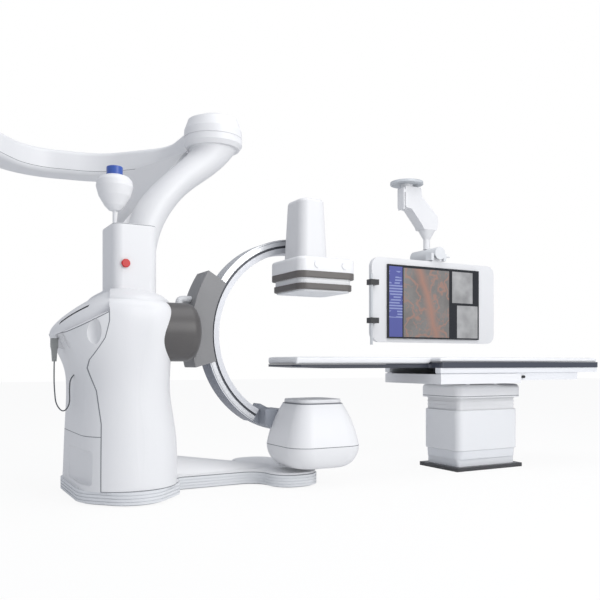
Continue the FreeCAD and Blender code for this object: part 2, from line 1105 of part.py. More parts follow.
def base_outline():
    """The plan of the gantry's base: a broad oval, a neck and a T-shaped toe."""
    half = [
        (size.ring_left, size.ring_side_half, size.ring_radius),
        (size.ring_left + size.ring_corner, size.ring_half_width, size.ring_radius),
        (size.ring_right - size.ring_corner, size.ring_half_width, size.ring_radius),
        (size.ring_right, size.ring_side_half, size.deck_blend),
        (size.ring_right, size.deck_half_width, size.deck_blend),
        (size.toe_left, size.deck_half_width, size.toe_blend),
        (size.toe_left, size.toe_half_width, size.toe_radius),
        (size.toe_nose, size.toe_half_width, size.toe_radius),
    ]
    centre = size.gantry_centre_y
    far = [(x, centre + y, radius) for x, y, radius in half]
    near = [(x, centre - y, radius) for x, y, radius in reversed(half)]
    return rounded_wire(near + far, 0)


def slab(outline, inset, low, high):
    """The base's plan, drawn in by an inset, from one height to another."""
    face = Part.Face(outline)
    if float(inset) > 0:
        face = face.makeOffset2D(-float(inset))
    face.translate(Vector(0, 0, float(low)))
    return face.extrude(Vector(0, 0, float(high) - float(low)))


def wheel_places():
    """The name and centre of each drive wheel."""
    half = size.wheel_track / 2
    return [
        ("front", size.gantry_centre_y - half),
        ("rear", size.gantry_centre_y + half),
    ]


def make_base():
    outline = base_outline()
    skirt = slab(outline, 0, size.skirt_bottom, size.skirt_top)
    skirt = skirt.cut(slab(outline, size.skirt_wall, 0, size.skirt_top))
    for index in (1, 2, 3):
        low = size.skirt_bottom + size.skirt_groove_pitch * index - 5
        band = slab(outline, 0, low, low + size.skirt_groove_height)
        core = slab(outline, size.skirt_groove_depth, low, low + size.skirt_groove_height)
        skirt = skirt.cut(band.cut(core))
    keep(feature("base_skirt_shape", skirt), "base_skirt")

    low = size.skirt_top - size.chassis_thickness
    plate = feature("chassis_slab", slab(outline, size.skirt_wall, low, size.skirt_top))
    blocks = []
    bores = []
    for name, y in wheel_places():
        half = size.wheel_width / 2 + size.wheel_pocket_gap
        inward = 1 if name == "front" else -1
        start = y + (half if inward > 0 else -half - size.bearing_block_width)
        blocks.append(
            box(
                f"bearing_block_{name}",
                size.bearing_block_length,
                size.bearing_block_width,
                size.skirt_top - size.wheel_radius + size.axle_radius * 2,
                (
                    size.wheel_x - size.bearing_block_length / 2,
                    start,
                    size.wheel_radius - size.axle_radius * 2,
                ),
            )
        )
        bores.append(
            cylinder(
                f"bearing_bore_{name}",
                size.axle_radius + size.shaft_gap,
                size.bearing_block_width * 3,
                (size.wheel_x, start - size.bearing_block_width, size.wheel_radius),
                (0, 1, 0),
            )
        )
        bores.append(wheel_pocket(f"chassis_pocket_{name}", y))
    bores.append(
        cylinder(
            "caster_bore",
            size.caster_pin_radius + size.shaft_gap,
            size.skirt_top,
            (size.caster_x, size.gantry_centre_y, 0),
        )
    )
    keep(cut("chassis_cut", fuse("chassis_fuse", plate, *blocks), *bores), "chassis_plate")


def wheel_pocket(name, y):
    """The room a drive wheel needs above its axle."""
    gap = size.wheel_pocket_gap
    reach = size.wheel_radius + gap
    return cylinder(
        name,
        reach,
        size.wheel_width + gap * 2,
        (size.wheel_x, y - size.wheel_width / 2 - gap, size.wheel_radius),
        (0, 1, 0),
    )


def make_deck():
    outline = base_outline()
    low = size.skirt_top
    plate = slab(outline, size.deck_inset, low, low + size.deck_thickness)
    half = size.deck_half_width - size.deck_inset - size.deck_rim
    upper = slab(
        outline, size.deck_inset + size.deck_rim, low + size.deck_thickness, low + size.deck_thickness + 5
    )
    plate = plate.fuse(upper)

    def arch(x, width, crest):
        """Half of an ellipse standing on the deck, closed by its chord."""
        centre = vector(x, size.gantry_centre_y, low + 2)
        bow = Part.Ellipse(
            centre + vector(0, width, 0), centre + vector(0, 0, crest), centre
        )
        arc = Part.ArcOfEllipse(bow, 0, math.pi).toShape()
        chord = Part.LineSegment(arc.Vertexes[-1].Point, arc.Vertexes[0].Point).toShape()
        return Part.Wire([arc, chord])

    crest = Part.makeLoft(
        [
            arch(size.ring_right - 60, half, size.deck_crest),
            arch((size.ring_right + size.deck_crest_end) / 2, half, size.deck_crest * 0.52),
            arch(size.deck_crest_end, half * 0.9, size.deck_thickness),
        ],
        True,
    )
    deck = feature("deck_shape", plate.fuse(crest).removeSplitter())
    # the gantry's covers stand on the skirt, so the deck stops at them
    covers = cover_loft("deck_trim", 0)
    behind = box("deck_behind", 900, 1400, 300, (-3700, size.gantry_centre_y - 700, low - 50))
    # room above the flat deck for the tube housing, which swings past about both axes
    above = box("deck_room_above", 1200, 1200, 400, (-2300, -700, low + size.deck_thickness + 0.5))
    pivot_sweep = cylinder(
        "deck_pivot_sweep",
        size.tube_sweep_radius,
        size.tube_width + 70,
        (size.iso_x - size.tube_width / 2 - 35, size.iso_y, size.iso_z),
        (1, 0, 0),
    )
    orbital_sweep = cylinder(
        "deck_orbital_sweep",
        size.tube_sweep_radius,
        size.tube_width / 2 + 310,
        (size.iso_x, size.iso_y - 300, size.iso_z),
        (0, 1, 0),
    )
    tube_room = common("deck_tube_room", above, fuse("deck_sweeps", pivot_sweep, orbital_sweep))
    keep(cut("deck_cut", deck, covers, behind, tube_room), "base_deck")


def make_wheels():
    for name, y in wheel_places():
        inward = 1 if name == "front" else -1
        wheel = cylinder(
            f"wheel_disc_{name}",
            size.wheel_radius,
            size.wheel_width,
            (size.wheel_x, y - size.wheel_width / 2, size.wheel_radius),
            (0, 1, 0),
        )
        reach = size.wheel_width / 2 + size.wheel_pocket_gap + size.bearing_block_width
        axle = cylinder(
            f"wheel_axle_{name}",
            size.axle_radius,
            reach,
            (size.wheel_x, y if inward > 0 else y - reach, size.wheel_radius),
            (0, 1, 0),
        )
        keep(fuse(f"wheel_{name}", wheel, axle), f"drive_wheel_{name}")

    y = size.gantry_centre_y
    gap = size.running_gap
    top = size.skirt_top - size.chassis_thickness - gap
    axle_x = size.caster_x - size.caster_trail
    half = size.caster_wheel_width / 2 + gap * 3
    crown_low = size.caster_wheel_radius * 2 + gap * 6
    crown = cylinder(
        "caster_crown", size.caster_trail + half, top - crown_low, (size.caster_x, y, crown_low)
    )
    pin = cylinder(
        "caster_pin",
        size.caster_pin_radius,
        size.skirt_top - gap - crown_low,
        (size.caster_x, y, crown_low),
    )
    cheeks = [
        box(
            f"caster_cheek_{index}",
            size.caster_trail * 1.6,
            size.caster_fork_wall,
            top - size.caster_wheel_radius + size.caster_axle_radius * 2,
            (
                axle_x - size.caster_trail / 2,
                y + (half if side > 0 else -half - size.caster_fork_wall),
                size.caster_wheel_radius - size.caster_axle_radius * 2,
            ),
        )
        for index, side in enumerate((-1, 1))
    ]
    bore = cylinder(
        "caster_axle_bore",
        size.caster_axle_radius + size.shaft_gap,
        half * 2 + size.caster_fork_wall * 4,
        (axle_x, y - half - size.caster_fork_wall * 2, size.caster_wheel_radius),
        (0, 1, 0),
    )
    keep(cut("caster_cut", fuse("caster_fuse", crown, pin, *cheeks), bore), "caster_fork")
    wheel = cylinder(
        "caster_disc",
        size.caster_wheel_radius,
        size.caster_wheel_width,
        (axle_x, y - size.caster_wheel_width / 2, size.caster_wheel_radius),
        (0, 1, 0),
    )
    axle = cylinder(
        "caster_axle",
        size.caster_axle_radius,
        half * 2 + size.caster_fork_wall * 2,
        (axle_x, y - half - size.caster_fork_wall, size.caster_wheel_radius),
        (0, 1, 0),
    )
    keep(fuse("caster_wheel_fuse", wheel, axle), "caster_wheel")


# covers of the gantry

# each section of the covers: height, left x, right x, half width in y,
# radius of the left corners, radius of the right corners
COVER_SECTIONS = [
    (90, -3255, -2632, 545, 300, 300),
    (200, -3250, -2630, 538, 295, 295),
    (310, -3246, -2630, 530, 285, 285),
    (520, -3235, -2655, 522, 270, 270),
    (720, -3228, -2685, 525, 262, 255),
    (900, -3265, -2695, 556, 290, 232),
    (1060, -3342, -2700, 590, 340, 208),
    (1180, -3348, -2702, 596, 350, 200),
    (1255, -3290, -2738, 550, 300, 190),
]


def cover_loft(name, inset):
    """The outer form of the gantry's covers, through rounded sections."""
    wires = []
    for height, left, right, half, left_radius, right_radius in COVER_SECTIONS:
        centre = float(size.gantry_centre_y)
        low, high = centre - half + inset, centre + half - inset
        wires.append(
            rounded_wire(
                [
                    (left + inset, low, left_radius),
                    (right - inset, low, right_radius),
                    (right - inset, high, right_radius),
                    (left + inset, high, left_radius),
                ],
                height,
            )
        )
    return feature(name, Part.makeLoft(wires, True, False))


def laid(item, placement):
    """Put a form at a turned place that no single size gives."""
    for axis in "xyz":
        item.setExpression("Placement.Base." + axis, None)
    item.Placement = placement


def lid_range(name):
    """The plan of the lid: it ends along two lines from the mast's corners to the seams."""
    y = float(size.gantry_centre_y)
    near = [(-4000, -1000), (-3175, -1000), (-3150, -600), (-3030, -140)]
    far = [(x, -across) for x, across in reversed(near)]
    corners = [Vector(x, y + across, 900) for x, across in near + far]
    face = Part.Face(Part.makePolygon(corners + corners[:1]))
    return feature(name, face.extrude(Vector(0, 0, 900)))


def seam_block(name):
    """Everything above the sloping seam under the lid."""
    item = box(name, 900, 1600, 400, (size.seam_tip_x, size.gantry_centre_y - 800, size.seam_tip_z))
    # the low edge runs a little past the tip, along the slope
    turn = Rotation(Vector(0, 1, 0), -float(size.seam_slope))
    start = vector(size.seam_tip_x, size.gantry_centre_y - 800, size.seam_tip_z)
    shift = turn.multVec(Vector(-100, 0, 0))
    laid(item, Placement(start + shift, turn))
    return common(name + "_left", item, lid_range(name + "_range"))


def rear_outline():
    """The seam between the front cover and the rear covers, as x and z."""
    return [
        (-3165, 60),
        (-3158, 500),
        (-3180, 700),
        (-3225, 840),
        (-3222, 890),
        (-3158, 1020),
        (-3140, 1120),
        (-3140, 1300),
    ]


def make_covers():
    y = size.gantry_centre_y
    pockets = [wheel_pocket(f"cover_pocket_{name}", place) for name, place in wheel_places()]
    hub_room = cylinder(
        "hub_room",
        size.hub_radius + 5,
        400,
        (size.hub_left - size.running_gap, size.iso_y, size.iso_z),
        (1, 0, 0),
    )
    bearing_room = hub_bearing_blank("bearing_room")
    seam = rear_outline()
    rear = prism(
        "rear_prism", [(-3600, 60), *seam, (-3600, 1300)], y - 900, y + 900
    )
    whole = cut("cover_whole", cover_loft("cover_form", 0), seam_block("seam_over_cover"))
    front = cut("body_cover_cut", whole, rear, *pockets, hub_room, bearing_room)
    keep(front, "body_cover")

    back = common("rear_part", whole, rear)
    floor = box(
        "panel_prism", 1200, 1800, size.panel_seam_z, (-3700, y - 900, 0)
    )
    recess = box(
        "panel_recess",
        size.panel_recess_depth,
        180,
        size.panel_recess_top - 130,
        (-3262, y - 160, 130),
    )
    keep(cut("service_panel_cut", common("panel_part", back, floor), recess), "service_panel")
    grips = []
    for index, (x, grip_y, z) in enumerate([(-3228, -178, 1040), (-3326, 0, 1015)]):
        grips.append(
            ellipsoid(
                f"grip_{index}",
                size.grip_radius_x,
                size.grip_radius_y,
                size.grip_radius_z,
                (x, grip_y, z),
            )
        )
    grips.append(
        box(
            "handset_room",
            80,
            size.handset_width + 8,
            size.handset_height + 10,
            (-3413, y - size.handset_width / 2 - 4, 875),
        )
    )
    keep(cut("rear_cover_cut", back, floor, *grips), "rear_cover")


def make_lid_and_collar():
    y = size.gantry_centre_y
    slope = float(size.seam_slope)
    rise = math.tan(math.radians(slope)) * (float(size.lid_centre_x) - float(size.seam_tip_x))
    dome = ellipsoid(
        "lid_dome",
        size.lid_half_length,
        size.lid_half_width,
        size.lid_height,
        (size.lid_centre_x, y, size.seam_tip_z + rise),
        dome=True,
    )
    turned(dome, (0, 1, 0), -slope)
    collar = ellipsoid(
        "collar_dome",
        size.collar_half_length,
        size.collar_half_width,
        size.collar_height,
        (size.collar_centre_x, y, size.cover_top),
        dome=True,
    )
    mast = mast_block("collar_mast", size.cover_top - 20)
    hub_room = cylinder(
        "collar_hub_room",
        size.hub_radius + 5,
        400,
        (size.hub_left - size.running_gap, size.iso_y, size.iso_z),
        (1, 0, 0),
    )
    lid_side = lid_range("collar_lid_side")
    keep(cut("collar_cut", collar, mast, hub_room, lid_side), "body_collar")
    # the slot follows the dome's near rim, so it is laid in the dome's own frame
    middle = vector(size.lid_centre_x, y, size.seam_tip_z + rise)
    tilt = Rotation(Vector(0, 1, 0), -slope)
    skew = Rotation(Vector(0, 0, 1), -float(size.slot_skew))
    start = skew.multVec(vector(size.slot_length * -0.5, size.slot_width * -0.5, 0))
    start = start + vector(size.slot_along * -1, size.slot_side * -1, size.slot_floor)
    slot = box("lid_slot", size.slot_length, size.slot_width, size.lid_height, (0, 0, 0))
    laid(slot, Placement(middle + tilt.multVec(start), tilt * skew))
    mast_again = mast_block("lid_mast", size.cover_top - 400)
    whole = cover_loft("lid_cover", 0)
    inner = cut("lid_cover_low", whole, seam_block("seam_over_lid"))
    left_part = common("lid_left", dome, lid_range("lid_plan"))
    keep(cut("lid_cut", left_part, mast_again, inner, slot), "side_lid")


# mast, swan neck and what stands on them


def mast_block(name, bottom):
    return rounded_block(
        name,
        size.mast_length,
        size.mast_width,
        size.mast_top - bottom,
        size.mast_corner,
        (size.mast_x, size.gantry_centre_y, bottom),
        rim=size.mast_rim,
    )


# each section of the swan neck: x, z, lean from upright in degrees, half thickness, half width
NECK_SECTIONS = [
    (-2806, 1470, 0, 92, 138),
    (-2796, 1640, 8, 106, 150),
    (-2752, 1830, 22, 112, 154),
    (-2650, 2000, 40, 104, 150),
    (-2500, 2160, 50, 98, 146),
    (-2352, 2290, 38, 112, 152),
    (-2268, 2399.7, 0, 172, 172),
]


def make_neck():
    y = float(size.gantry_centre_y)
    wires = []
    for x, z, lean, thick, wide in NECK_SECTIONS:
        ring = Part.Wire(
            [Part.Ellipse(Vector(0, 0, 0), max(thick, wide), min(thick, wide)).toShape()]
        )
        turn = Rotation(Vector(0, 1, 0), lean) * Rotation(Vector(0, 0, 1), 90)
        ring.Placement = Placement(Vector(x, y, z), turn)
        wires.append(ring)
    neck = feature("neck_loft", Part.makeLoft(wires, True, False))
    pivot = cylinder(
        "neck_pivot",
        size.pivot_radius,
        size.pivot_height,
        (size.neck_end_x, y - 10, size.neck_top - 10),
    )
    whole = fuse("neck_fuse", neck, pivot)
    mast = mast_block("mast_form", size.cover_top)
    estop_bore = cylinder(
        "estop_bore",
        size.estop_stem_radius + size.shaft_gap,
        size.estop_stem_depth + size.estop_travel + 40,
        (
            size.estop_x,
            size.gantry_centre_y - size.mast_width / 2 + size.estop_stem_depth + size.estop_travel,
            size.estop_z,
        ),
        (0, -1, 0),
    )
    keep(cut("mast_cut", mast, whole, estop_bore), "mast_cover")

    lower = Part.makePolygon(
        [
            Vector(-2895, 170, 1787),
            Vector(-2938, 170, 1787),
            Vector(-2943, 250, 1787),
            Vector(-2900, 270, 1787),
            Vector(-2895, 170, 1787),
        ]
    )
    height = float(size.web_height)
    upper = Part.makePolygon(
        [
            Vector(-2330, 300, height),
            Vector(-2440, 300, height),
            Vector(-2690, 1090, height),
            Vector(-2600, 1130, height),
            Vector(-2330, 300, height),
        ]
    )
    web = feature("web_loft", Part.makeLoft([lower, upper], True, True))
    web_mast = mast_block("web_mast", size.cover_top)
    keep(cut("web_cut", web, whole, web_mast), "neck_web")
    keep(whole, "swan_neck")


def make_estop():
    body = new_body("estop_body")
    face = size.gantry_centre_y - size.mast_width / 2
    head = sketch_on(body, "XZ_Plane", size.estop_travel + size.running_gap)
    circle(head, size.estop_head_radius)
    pad(body, head, size.estop_head_height)
    dress(
        body,
        "Fillet",
        lambda edge: edge.BoundBox.YMax < -float(size.estop_travel) - 2,
        Radius=size.estop_head_height / 3,
    )
    stem = sketch_on(body, "XZ_Plane", -size.estop_stem_depth)
    circle(stem, size.estop_stem_radius)
    pad(body, stem, size.estop_stem_depth + size.estop_travel + 2)
    bind(body, x=size.estop_x, y=face, z=size.estop_z)
    keep(body, "estop_button")


def make_laser():
    """A stem, a bulb that widens upward, and a turning cap."""
    body = new_body("laser_body")
    sketch = sketch_on(body, "XZ_Plane")
    stem = size.laser_stem_height
    tall = size.laser_bulb_height
    polygon(
        sketch,
        [
            (0, 0),
            (size.laser_stem_radius, 0),
            (size.laser_stem_radius, stem),
            (size.laser_bulb_foot * 0.8, stem + tall * 0.02),
            (size.laser_bulb_foot * 1.45, stem + tall * 0.15),
            (size.laser_bulb_radius * 0.86, stem + tall * 0.42),
            (size.laser_bulb_radius, stem + tall * 0.68),
            (size.laser_bulb_radius * 0.96, stem + tall * 0.84),
            (size.laser_bulb_radius * 0.78, stem + tall * 0.95),
            (size.laser_bulb_top, stem + tall),
            (size.laser_pin_radius + size.shaft_gap, stem + tall),
            (size.laser_pin_radius + size.shaft_gap, stem + tall - size.laser_pin_depth),
            (0, stem + tall - size.laser_pin_depth),
        ],
    )
    revolve(body, sketch)
    middle = float(stem + tall * 0.5)
    dress(
        body,
        "Fillet",
        lambda edge: edge.BoundBox.ZMin > float(stem) + 10
        and edge.BoundBox.ZMax < float(stem + tall) - 2
        and edge.BoundBox.XMax > float(size.laser_bulb_foot)
        and edge.BoundBox.ZMax - edge.BoundBox.ZMin < 1,
        Radius=size.laser_bulb_foot / 2,
    )
    bind(body, x=size.laser_x, y=size.gantry_centre_y, z=size.mast_top)
    keep(body, "laser_head")

    top = size.mast_top + stem + tall
    cap = rounded_cylinder(
        "laser_cap_body",
        size.laser_cap_radius,
        size.laser_cap_height,
        (size.laser_x, size.gantry_centre_y, top + size.running_gap),
        size.laser_cap_radius / 8,
    )
    pin = cylinder(
        "laser_cap_pin",
        size.laser_pin_radius,
        size.laser_pin_depth,
        (
            size.laser_x,
            size.gantry_centre_y,
            top + size.running_gap * 2 - size.laser_pin_depth,
        ),
    )
    keep(fuse("laser_cap_fuse", cap, pin), "laser_cap")


def rounded_cylinder(name, radius, height, at, rim):
    body = new_body(name)
    sketch = sketch_on(body, "XY_Plane")
    circle(sketch, radius)
    pad(body, sketch, height)
    dress(body, "Fillet", level(height), Radius=rim)
    bind(body, x=at[0], y=at[1], z=at[2])
    return body


# boom

BOOM_PATH = [(-2262, 190), (-2262, 900), (-2750, 1420), (-3400, 1500), (-3850, 950)]
BOOM_BENDS = [480, 560, 480]


def boom_end():
    return BOOM_PATH[-1]


def make_boom():
    bottom = size.boom_bottom
    half = size.boom_width / 2
    middle = float(bottom + size.boom_height / 2)
    points = [Vector(x, y, middle) for x, y in BOOM_PATH]
    path = path_wire(points, BOOM_BENDS)
    low = float(size.boom_height) / -2
    section = rounded_wire(
        [
            (-half, low, size.boom_corner),
            (half, low, size.boom_corner),
            (half, -low, size.boom_corner),
            (-half, -low, size.boom_corner),
        ],
        0,
    )
    section.Placement = Placement(points[0], Rotation(Vector(1, 0, 0), 90))
    beam = feature("beam_sweep", path.makePipeShell([section], True, False))
    end_x, end_y = boom_end()
    end = cylinder("beam_end", size.boom_end_radius, size.boom_height, (end_x, end_y, bottom))
    bore = cylinder(
        "beam_bore",
        size.pivot_radius + size.shaft_gap,
        size.pivot_height + size.running_gap,
        (end_x, end_y, bottom + size.boom_height - size.pivot_height),
    )
    room = cylinder(
        "beam_cap_room",
        size.boom_cap_radius,
        size.boom_height * 2,
        (size.neck_end_x, size.gantry_centre_y - 10, bottom - 20),
    )
    keep(cut("beam_cut", fuse("beam_fuse", beam, end), room, bore), "boom_beam")

    body = new_body("boom_cap_body")
    sketch = sketch_on(body, "XZ_Plane")
    radius = size.boom_cap_radius
    seam = size.boom_seam_height
    top = size.boom_cap_height
    bore_radius = size.pivot_radius + size.shaft_gap
    polygon(
        sketch,
        [
            (bore_radius, 0),
            (radius * 0.9, 0),
            (radius, seam * 0.4),
            (radius, seam),
            (radius - size.boom_seam_depth, seam),
            (radius - size.boom_seam_depth, seam + size.boom_seam_depth),
            (radius, seam + size.boom_seam_depth),
            (radius * 0.985, seam + (top - seam) * 0.35),
            (radius * 0.86, seam + (top - seam) * 0.78),
            (size.boom_cap_flat, top),
            (0, top),
            (0, size.pivot_height),
            (bore_radius, size.pivot_height),
        ],
    )
    revolve(body, sketch)
    bind(body, x=size.neck_end_x, y=size.gantry_centre_y - 10, z=bottom)
    keep(body, "boom_cap")

    turret_z = bottom + size.boom_height + size.running_gap
    post = cylinder("turret_post", size.turret_radius, size.turret_height, (end_x, end_y, turret_z))
    flange_z = turret_z + size.turret_height
    flange = cylinder(
        "turret_flange",
        size.turret_flange_radius,
        size.turret_flange_thickness,
        (end_x, end_y, flange_z),
    )
    pin = cylinder(
        "turret_pin",
        size.pivot_radius,
        size.pivot_height,
        (end_x, end_y, turret_z - size.pivot_height + size.running_gap),
    )
    holes = bolt_circle(
        "turret_hole",
        6,
        size.turret_bolt_circle,
        size.turret_bolt_radius,
        (end_x, end_y, flange_z - 5),
        size.turret_flange_thickness + 10,
    )
    keep(cut("turret_cut", fuse("turret_fuse", post, flange, pin), *holes), "ceiling_turret")


def bolt_circle(name, count, circle_radius, hole_radius, at, depth):
    """Holes evenly spaced on a circle."""
    holes = []
    for index in range(count):
        angle = 2 * math.pi * index / count
        holes.append(
            cylinder(
                f"{name}_{index}",
                hole_radius,
                depth,
                (
                    at[0] + circle_radius * math.cos(angle),
                    at[1] + circle_radius * math.sin(angle),
                    at[2],
                ),
            )
        )
    return holes


# hub, carrier and arc of the C-arm


def hub_bearing_blank(name):
    return cylinder(
        name,
        size.hub_bearing_radius,
        size.hub_bearing_length,
        (size.hub_left - size.running_gap - size.hub_bearing_length, size.iso_y, size.iso_z),
        (1, 0, 0),
    )


def make_hub():
    bore = cylinder(
        "bearing_bore",
        size.hub_shaft_radius + size.shaft_gap,
        size.hub_bearing_length * 2,
        (size.hub_left - size.hub_bearing_length * 1.5, size.iso_y, size.iso_z),
        (1, 0, 0),
    )
    keep(cut("bearing_cut", hub_bearing_blank("bearing_form"), bore), "hub_bearing")
    keep(hub_drum(""), "hub_drum")


def hub_drum(mark):
    """The dark drum, its end rounded like a dome, with the shaft that the bearing holds."""
    body = new_body("drum_body" + mark)
    sketch = sketch_on(body, "YZ_Plane", size.hub_left)
    circle(sketch, size.hub_radius, size.iso_y, size.iso_z)
    pad(body, sketch, size.hub_right - size.hub_left)
    dress(
        body,
        "Fillet",
        lambda edge: edge.BoundBox.XMin > float(size.hub_right) - 1,
        Radius=size.hub_round,
    )
    shaft = sketch_on(body, "YZ_Plane", size.hub_left - size.hub_shaft_length + size.shaft_gap)
    circle(shaft, size.hub_shaft_radius, size.iso_y, size.iso_z)
    pad(body, shaft, size.hub_shaft_length)
    return body


def make_carrier():
    front = size.arc_front - size.carrier_wall
    width = size.arc_width + size.carrier_wall * 2
    outer = sector("carrier_outer", size.carrier_outer, width, size.carrier_start, size.carrier_end)
    inner = sector(
        "carrier_inner",
        size.carrier_inner,
        width + 20,
        size.carrier_start - 10,
        size.carrier_end + 10,
    )
    bind(outer, y=front)
    bind(inner, y=front - 10)
    gap = size.carrier_gap
    room = cylinder(
        "carrier_arc_room",
        size.arc_outer + gap,
        size.arc_width + gap * 2,
        (size.iso_x, size.arc_front - gap, size.iso_z),
        (0, 1, 0),
    )
    boss = box(
        "carrier_boss",
        size.boss_right - size.boss_left,
        front + width - size.boss_front,
        size.boss_half_height * 2,
        (size.boss_left, size.boss_front, size.iso_z - size.boss_half_height),
    )
    drum = hub_drum("_in_carrier")
    sleeve = cut("carrier_ring", outer, inner)
    keep(cut("carrier_cut", fuse("carrier_fuse", sleeve, boss), room, drum), "carrier")

    hose_points = [
        vector(size.boss_left + 20, 130, size.iso_z + size.boss_half_height),
        vector(size.boss_left + 20, 130, size.iso_z + size.boss_half_height + 60),
        vector(size.boss_left + 70, 170, size.iso_z + size.boss_half_height + 100),
        vector(size.boss_left + 135, 170, size.iso_z + size.boss_half_height + 100),
    ]
    solid, length = tube_along(hose_points, float(size.hose_radius), bend_radii(hose_points))
    hose = feature("hose_tube", solid)
    ring_hose = sector(
        "hose_ring", size.carrier_outer, width + 20, size.carrier_start - 5, size.carrier_end + 5
    )
    bind(ring_hose, y=front - 10)
    keep(cut("hose_cut", hose, ring_hose), "supply_hose")


def make_arc():
    outer = sector("arc_outer_disc", size.arc_outer, size.arc_width, size.arc_start, size.arc_end)
    inner = sector(
        "arc_inner_disc",
        size.arc_inner,
        size.arc_width + 20,
        size.arc_start - 10,
        size.arc_end + 10,
    )
    bind(inner, y=size.arc_front - 10)
    grooves = []
    depth = size.arc_groove_depth
    for name, y in (
        ("front", size.arc_front - 10 + depth),
        ("rear", size.arc_front + size.arc_width + 10 - depth),
    ):
        low_y = y - 10 if name == "front" else y - 10
        wide = sector(
            f"groove_outer_{name}",
            size.arc_groove_radius + size.arc_groove_width / 2,
            10,
            size.arc_start - 5,
            size.arc_end + 5,
        )
        slim = sector(
            f"groove_inner_{name}",
            size.arc_groove_radius - size.arc_groove_width / 2,
            10,
            size.arc_start - 5,
            size.arc_end + 5,
        )
        start = size.arc_front - 10 + depth if name == "front" else (
            size.arc_front + size.arc_width - depth
        )
        bind(wide, y=start)
        bind(slim, y=start)
        grooves.append(cut(f"groove_{name}", wide, slim))
    keep(cut("arc_cut", outer, inner, *grooves), "c_arc")


# X-ray tube housing at the lower end of the arc


def tube_sections():
    """Height, width and corner radius of each section of the tube housing."""
    return [
        (size.tube_bottom, size.tube_lower_width, size.tube_lower_corner),
        (size.tube_bottom + 22, size.tube_lower_width * 1.28, size.tube_corner * 0.9),
        (size.tube_belly, size.tube_width * 0.965, size.tube_corner),
        (size.tube_seam, size.tube_width, size.tube_corner),
    ]


def square_wire(width, corner, height):
    half = width / 2
    x, y = size.iso_x, size.iso_y
    return rounded_wire(
        [
            (x - half, y - half, corner),
            (x + half, y - half, corner),
            (x + half, y + half, corner),
            (x - half, y + half, corner),
        ],
        height,
    )


def make_tube_housing():
    lower = feature(
        "lower_shell",
        Part.makeLoft(
            [square_wire(width, corner, z) for z, width, corner in tube_sections()], True, False
        ),
    )
    upper = feature(
        "upper_shell",
        Part.makeLoft(
            [
                square_wire(size.tube_width, size.tube_corner, size.tube_seam),
                square_wire(
                    size.tube_width * 0.925,
                    size.tube_corner * 0.92,
                    (size.tube_seam * 2 + size.tube_upper_top) / 3,
                ),
                square_wire(size.tube_upper_width, size.tube_upper_corner, size.tube_upper_top),
            ],
            True,
            False,
        ),
    )
    x, y = size.iso_x, size.iso_y
    half = size.cavity_width / 2
    room = box(
        "insert_room",
        size.cavity_width,
        size.cavity_width,
        size.cavity_height,
        (x - half, y - half, size.tube_seam - size.cavity_height / 2),
    )
    shaft = box(
        "beam_shaft",
        size.collimator_width,
        size.collimator_width,
        size.tube_upper_top,
        (
            x - size.collimator_width / 2,
            y - size.collimator_width / 2,
            size.tube_seam + size.cavity_height / 4,
        ),
    )
    keep(cut("lower_cut", lower, room), "tube_housing_lower")
    bracket = bracket_form("bracket_in_housing")
    keep(cut("upper_cut", upper, room, shaft), "tube_housing_upper")

    insert = cylinder(
        "insert_tube",
        size.insert_radius,
        size.cavity_width,
        (x, y - half, size.tube_seam),
        (0, 1, 0),
    )
    keep(insert, "x_ray_tube")

    lid = rounded_block(
        "collimator_lid_block",
        size.tube_lid_width,
        size.tube_lid_width,
        size.tube_lid_thickness,
        size.tube_lid_corner,
        (x, y, size.tube_upper_top),
        rim=size.tube_lid_thickness / 3,
    )
    throat = box(
        "collimator_throat",
        size.collimator_width - size.running_gap * 2,
        size.collimator_width - size.running_gap * 2,
        size.tube_upper_top - size.tube_seam - size.insert_radius - 30,
        (
            x - size.collimator_width / 2 + size.running_gap,
            y - size.collimator_width / 2 + size.running_gap,
            size.tube_seam + size.insert_radius + 30,
        ),
    )
    keep(fuse("collimator_fuse", lid, throat), "collimator")

    housings = fuse(
        "housing_forms",
        feature("lower_again", lower.Shape.copy()),
        feature("upper_again", upper.Shape.copy()),
    )
    keep(cut("bracket_cut", bracket, housings), "tube_bracket")


def bracket_form(name):
    """The plate that carries the housing from the arc's lower end."""
    width = size.bracket_width
    ring = sector(
        name + "_ring", size.arc_outer - 8, width, size.arc_end, size.arc_end + 22
    )
    inner = sector(
        name + "_inner", size.arc_inner - 46, width + 20, size.arc_end - 10, size.arc_end + 40
    )
    bind(ring, y=size.arc_front + 20)
    bind(inner, y=size.arc_front + 10)
    ring_cut = cut(name + "_cut", ring, inner)
    arm = box(
        name + "_arm",
        150,
        210,
        150,
        (size.iso_x - 300, size.arc_front - 90, size.tube_seam + 95),
    )
    outer = sector(name + "_limit", size.arc_outer - 8, 300, size.arc_end, size.arc_end + 40)
    bind(outer, y=size.arc_front - 100)
    return fuse(name, ring_cut, common(name + "_common", arm, outer))


# detector at the upper end of the arc


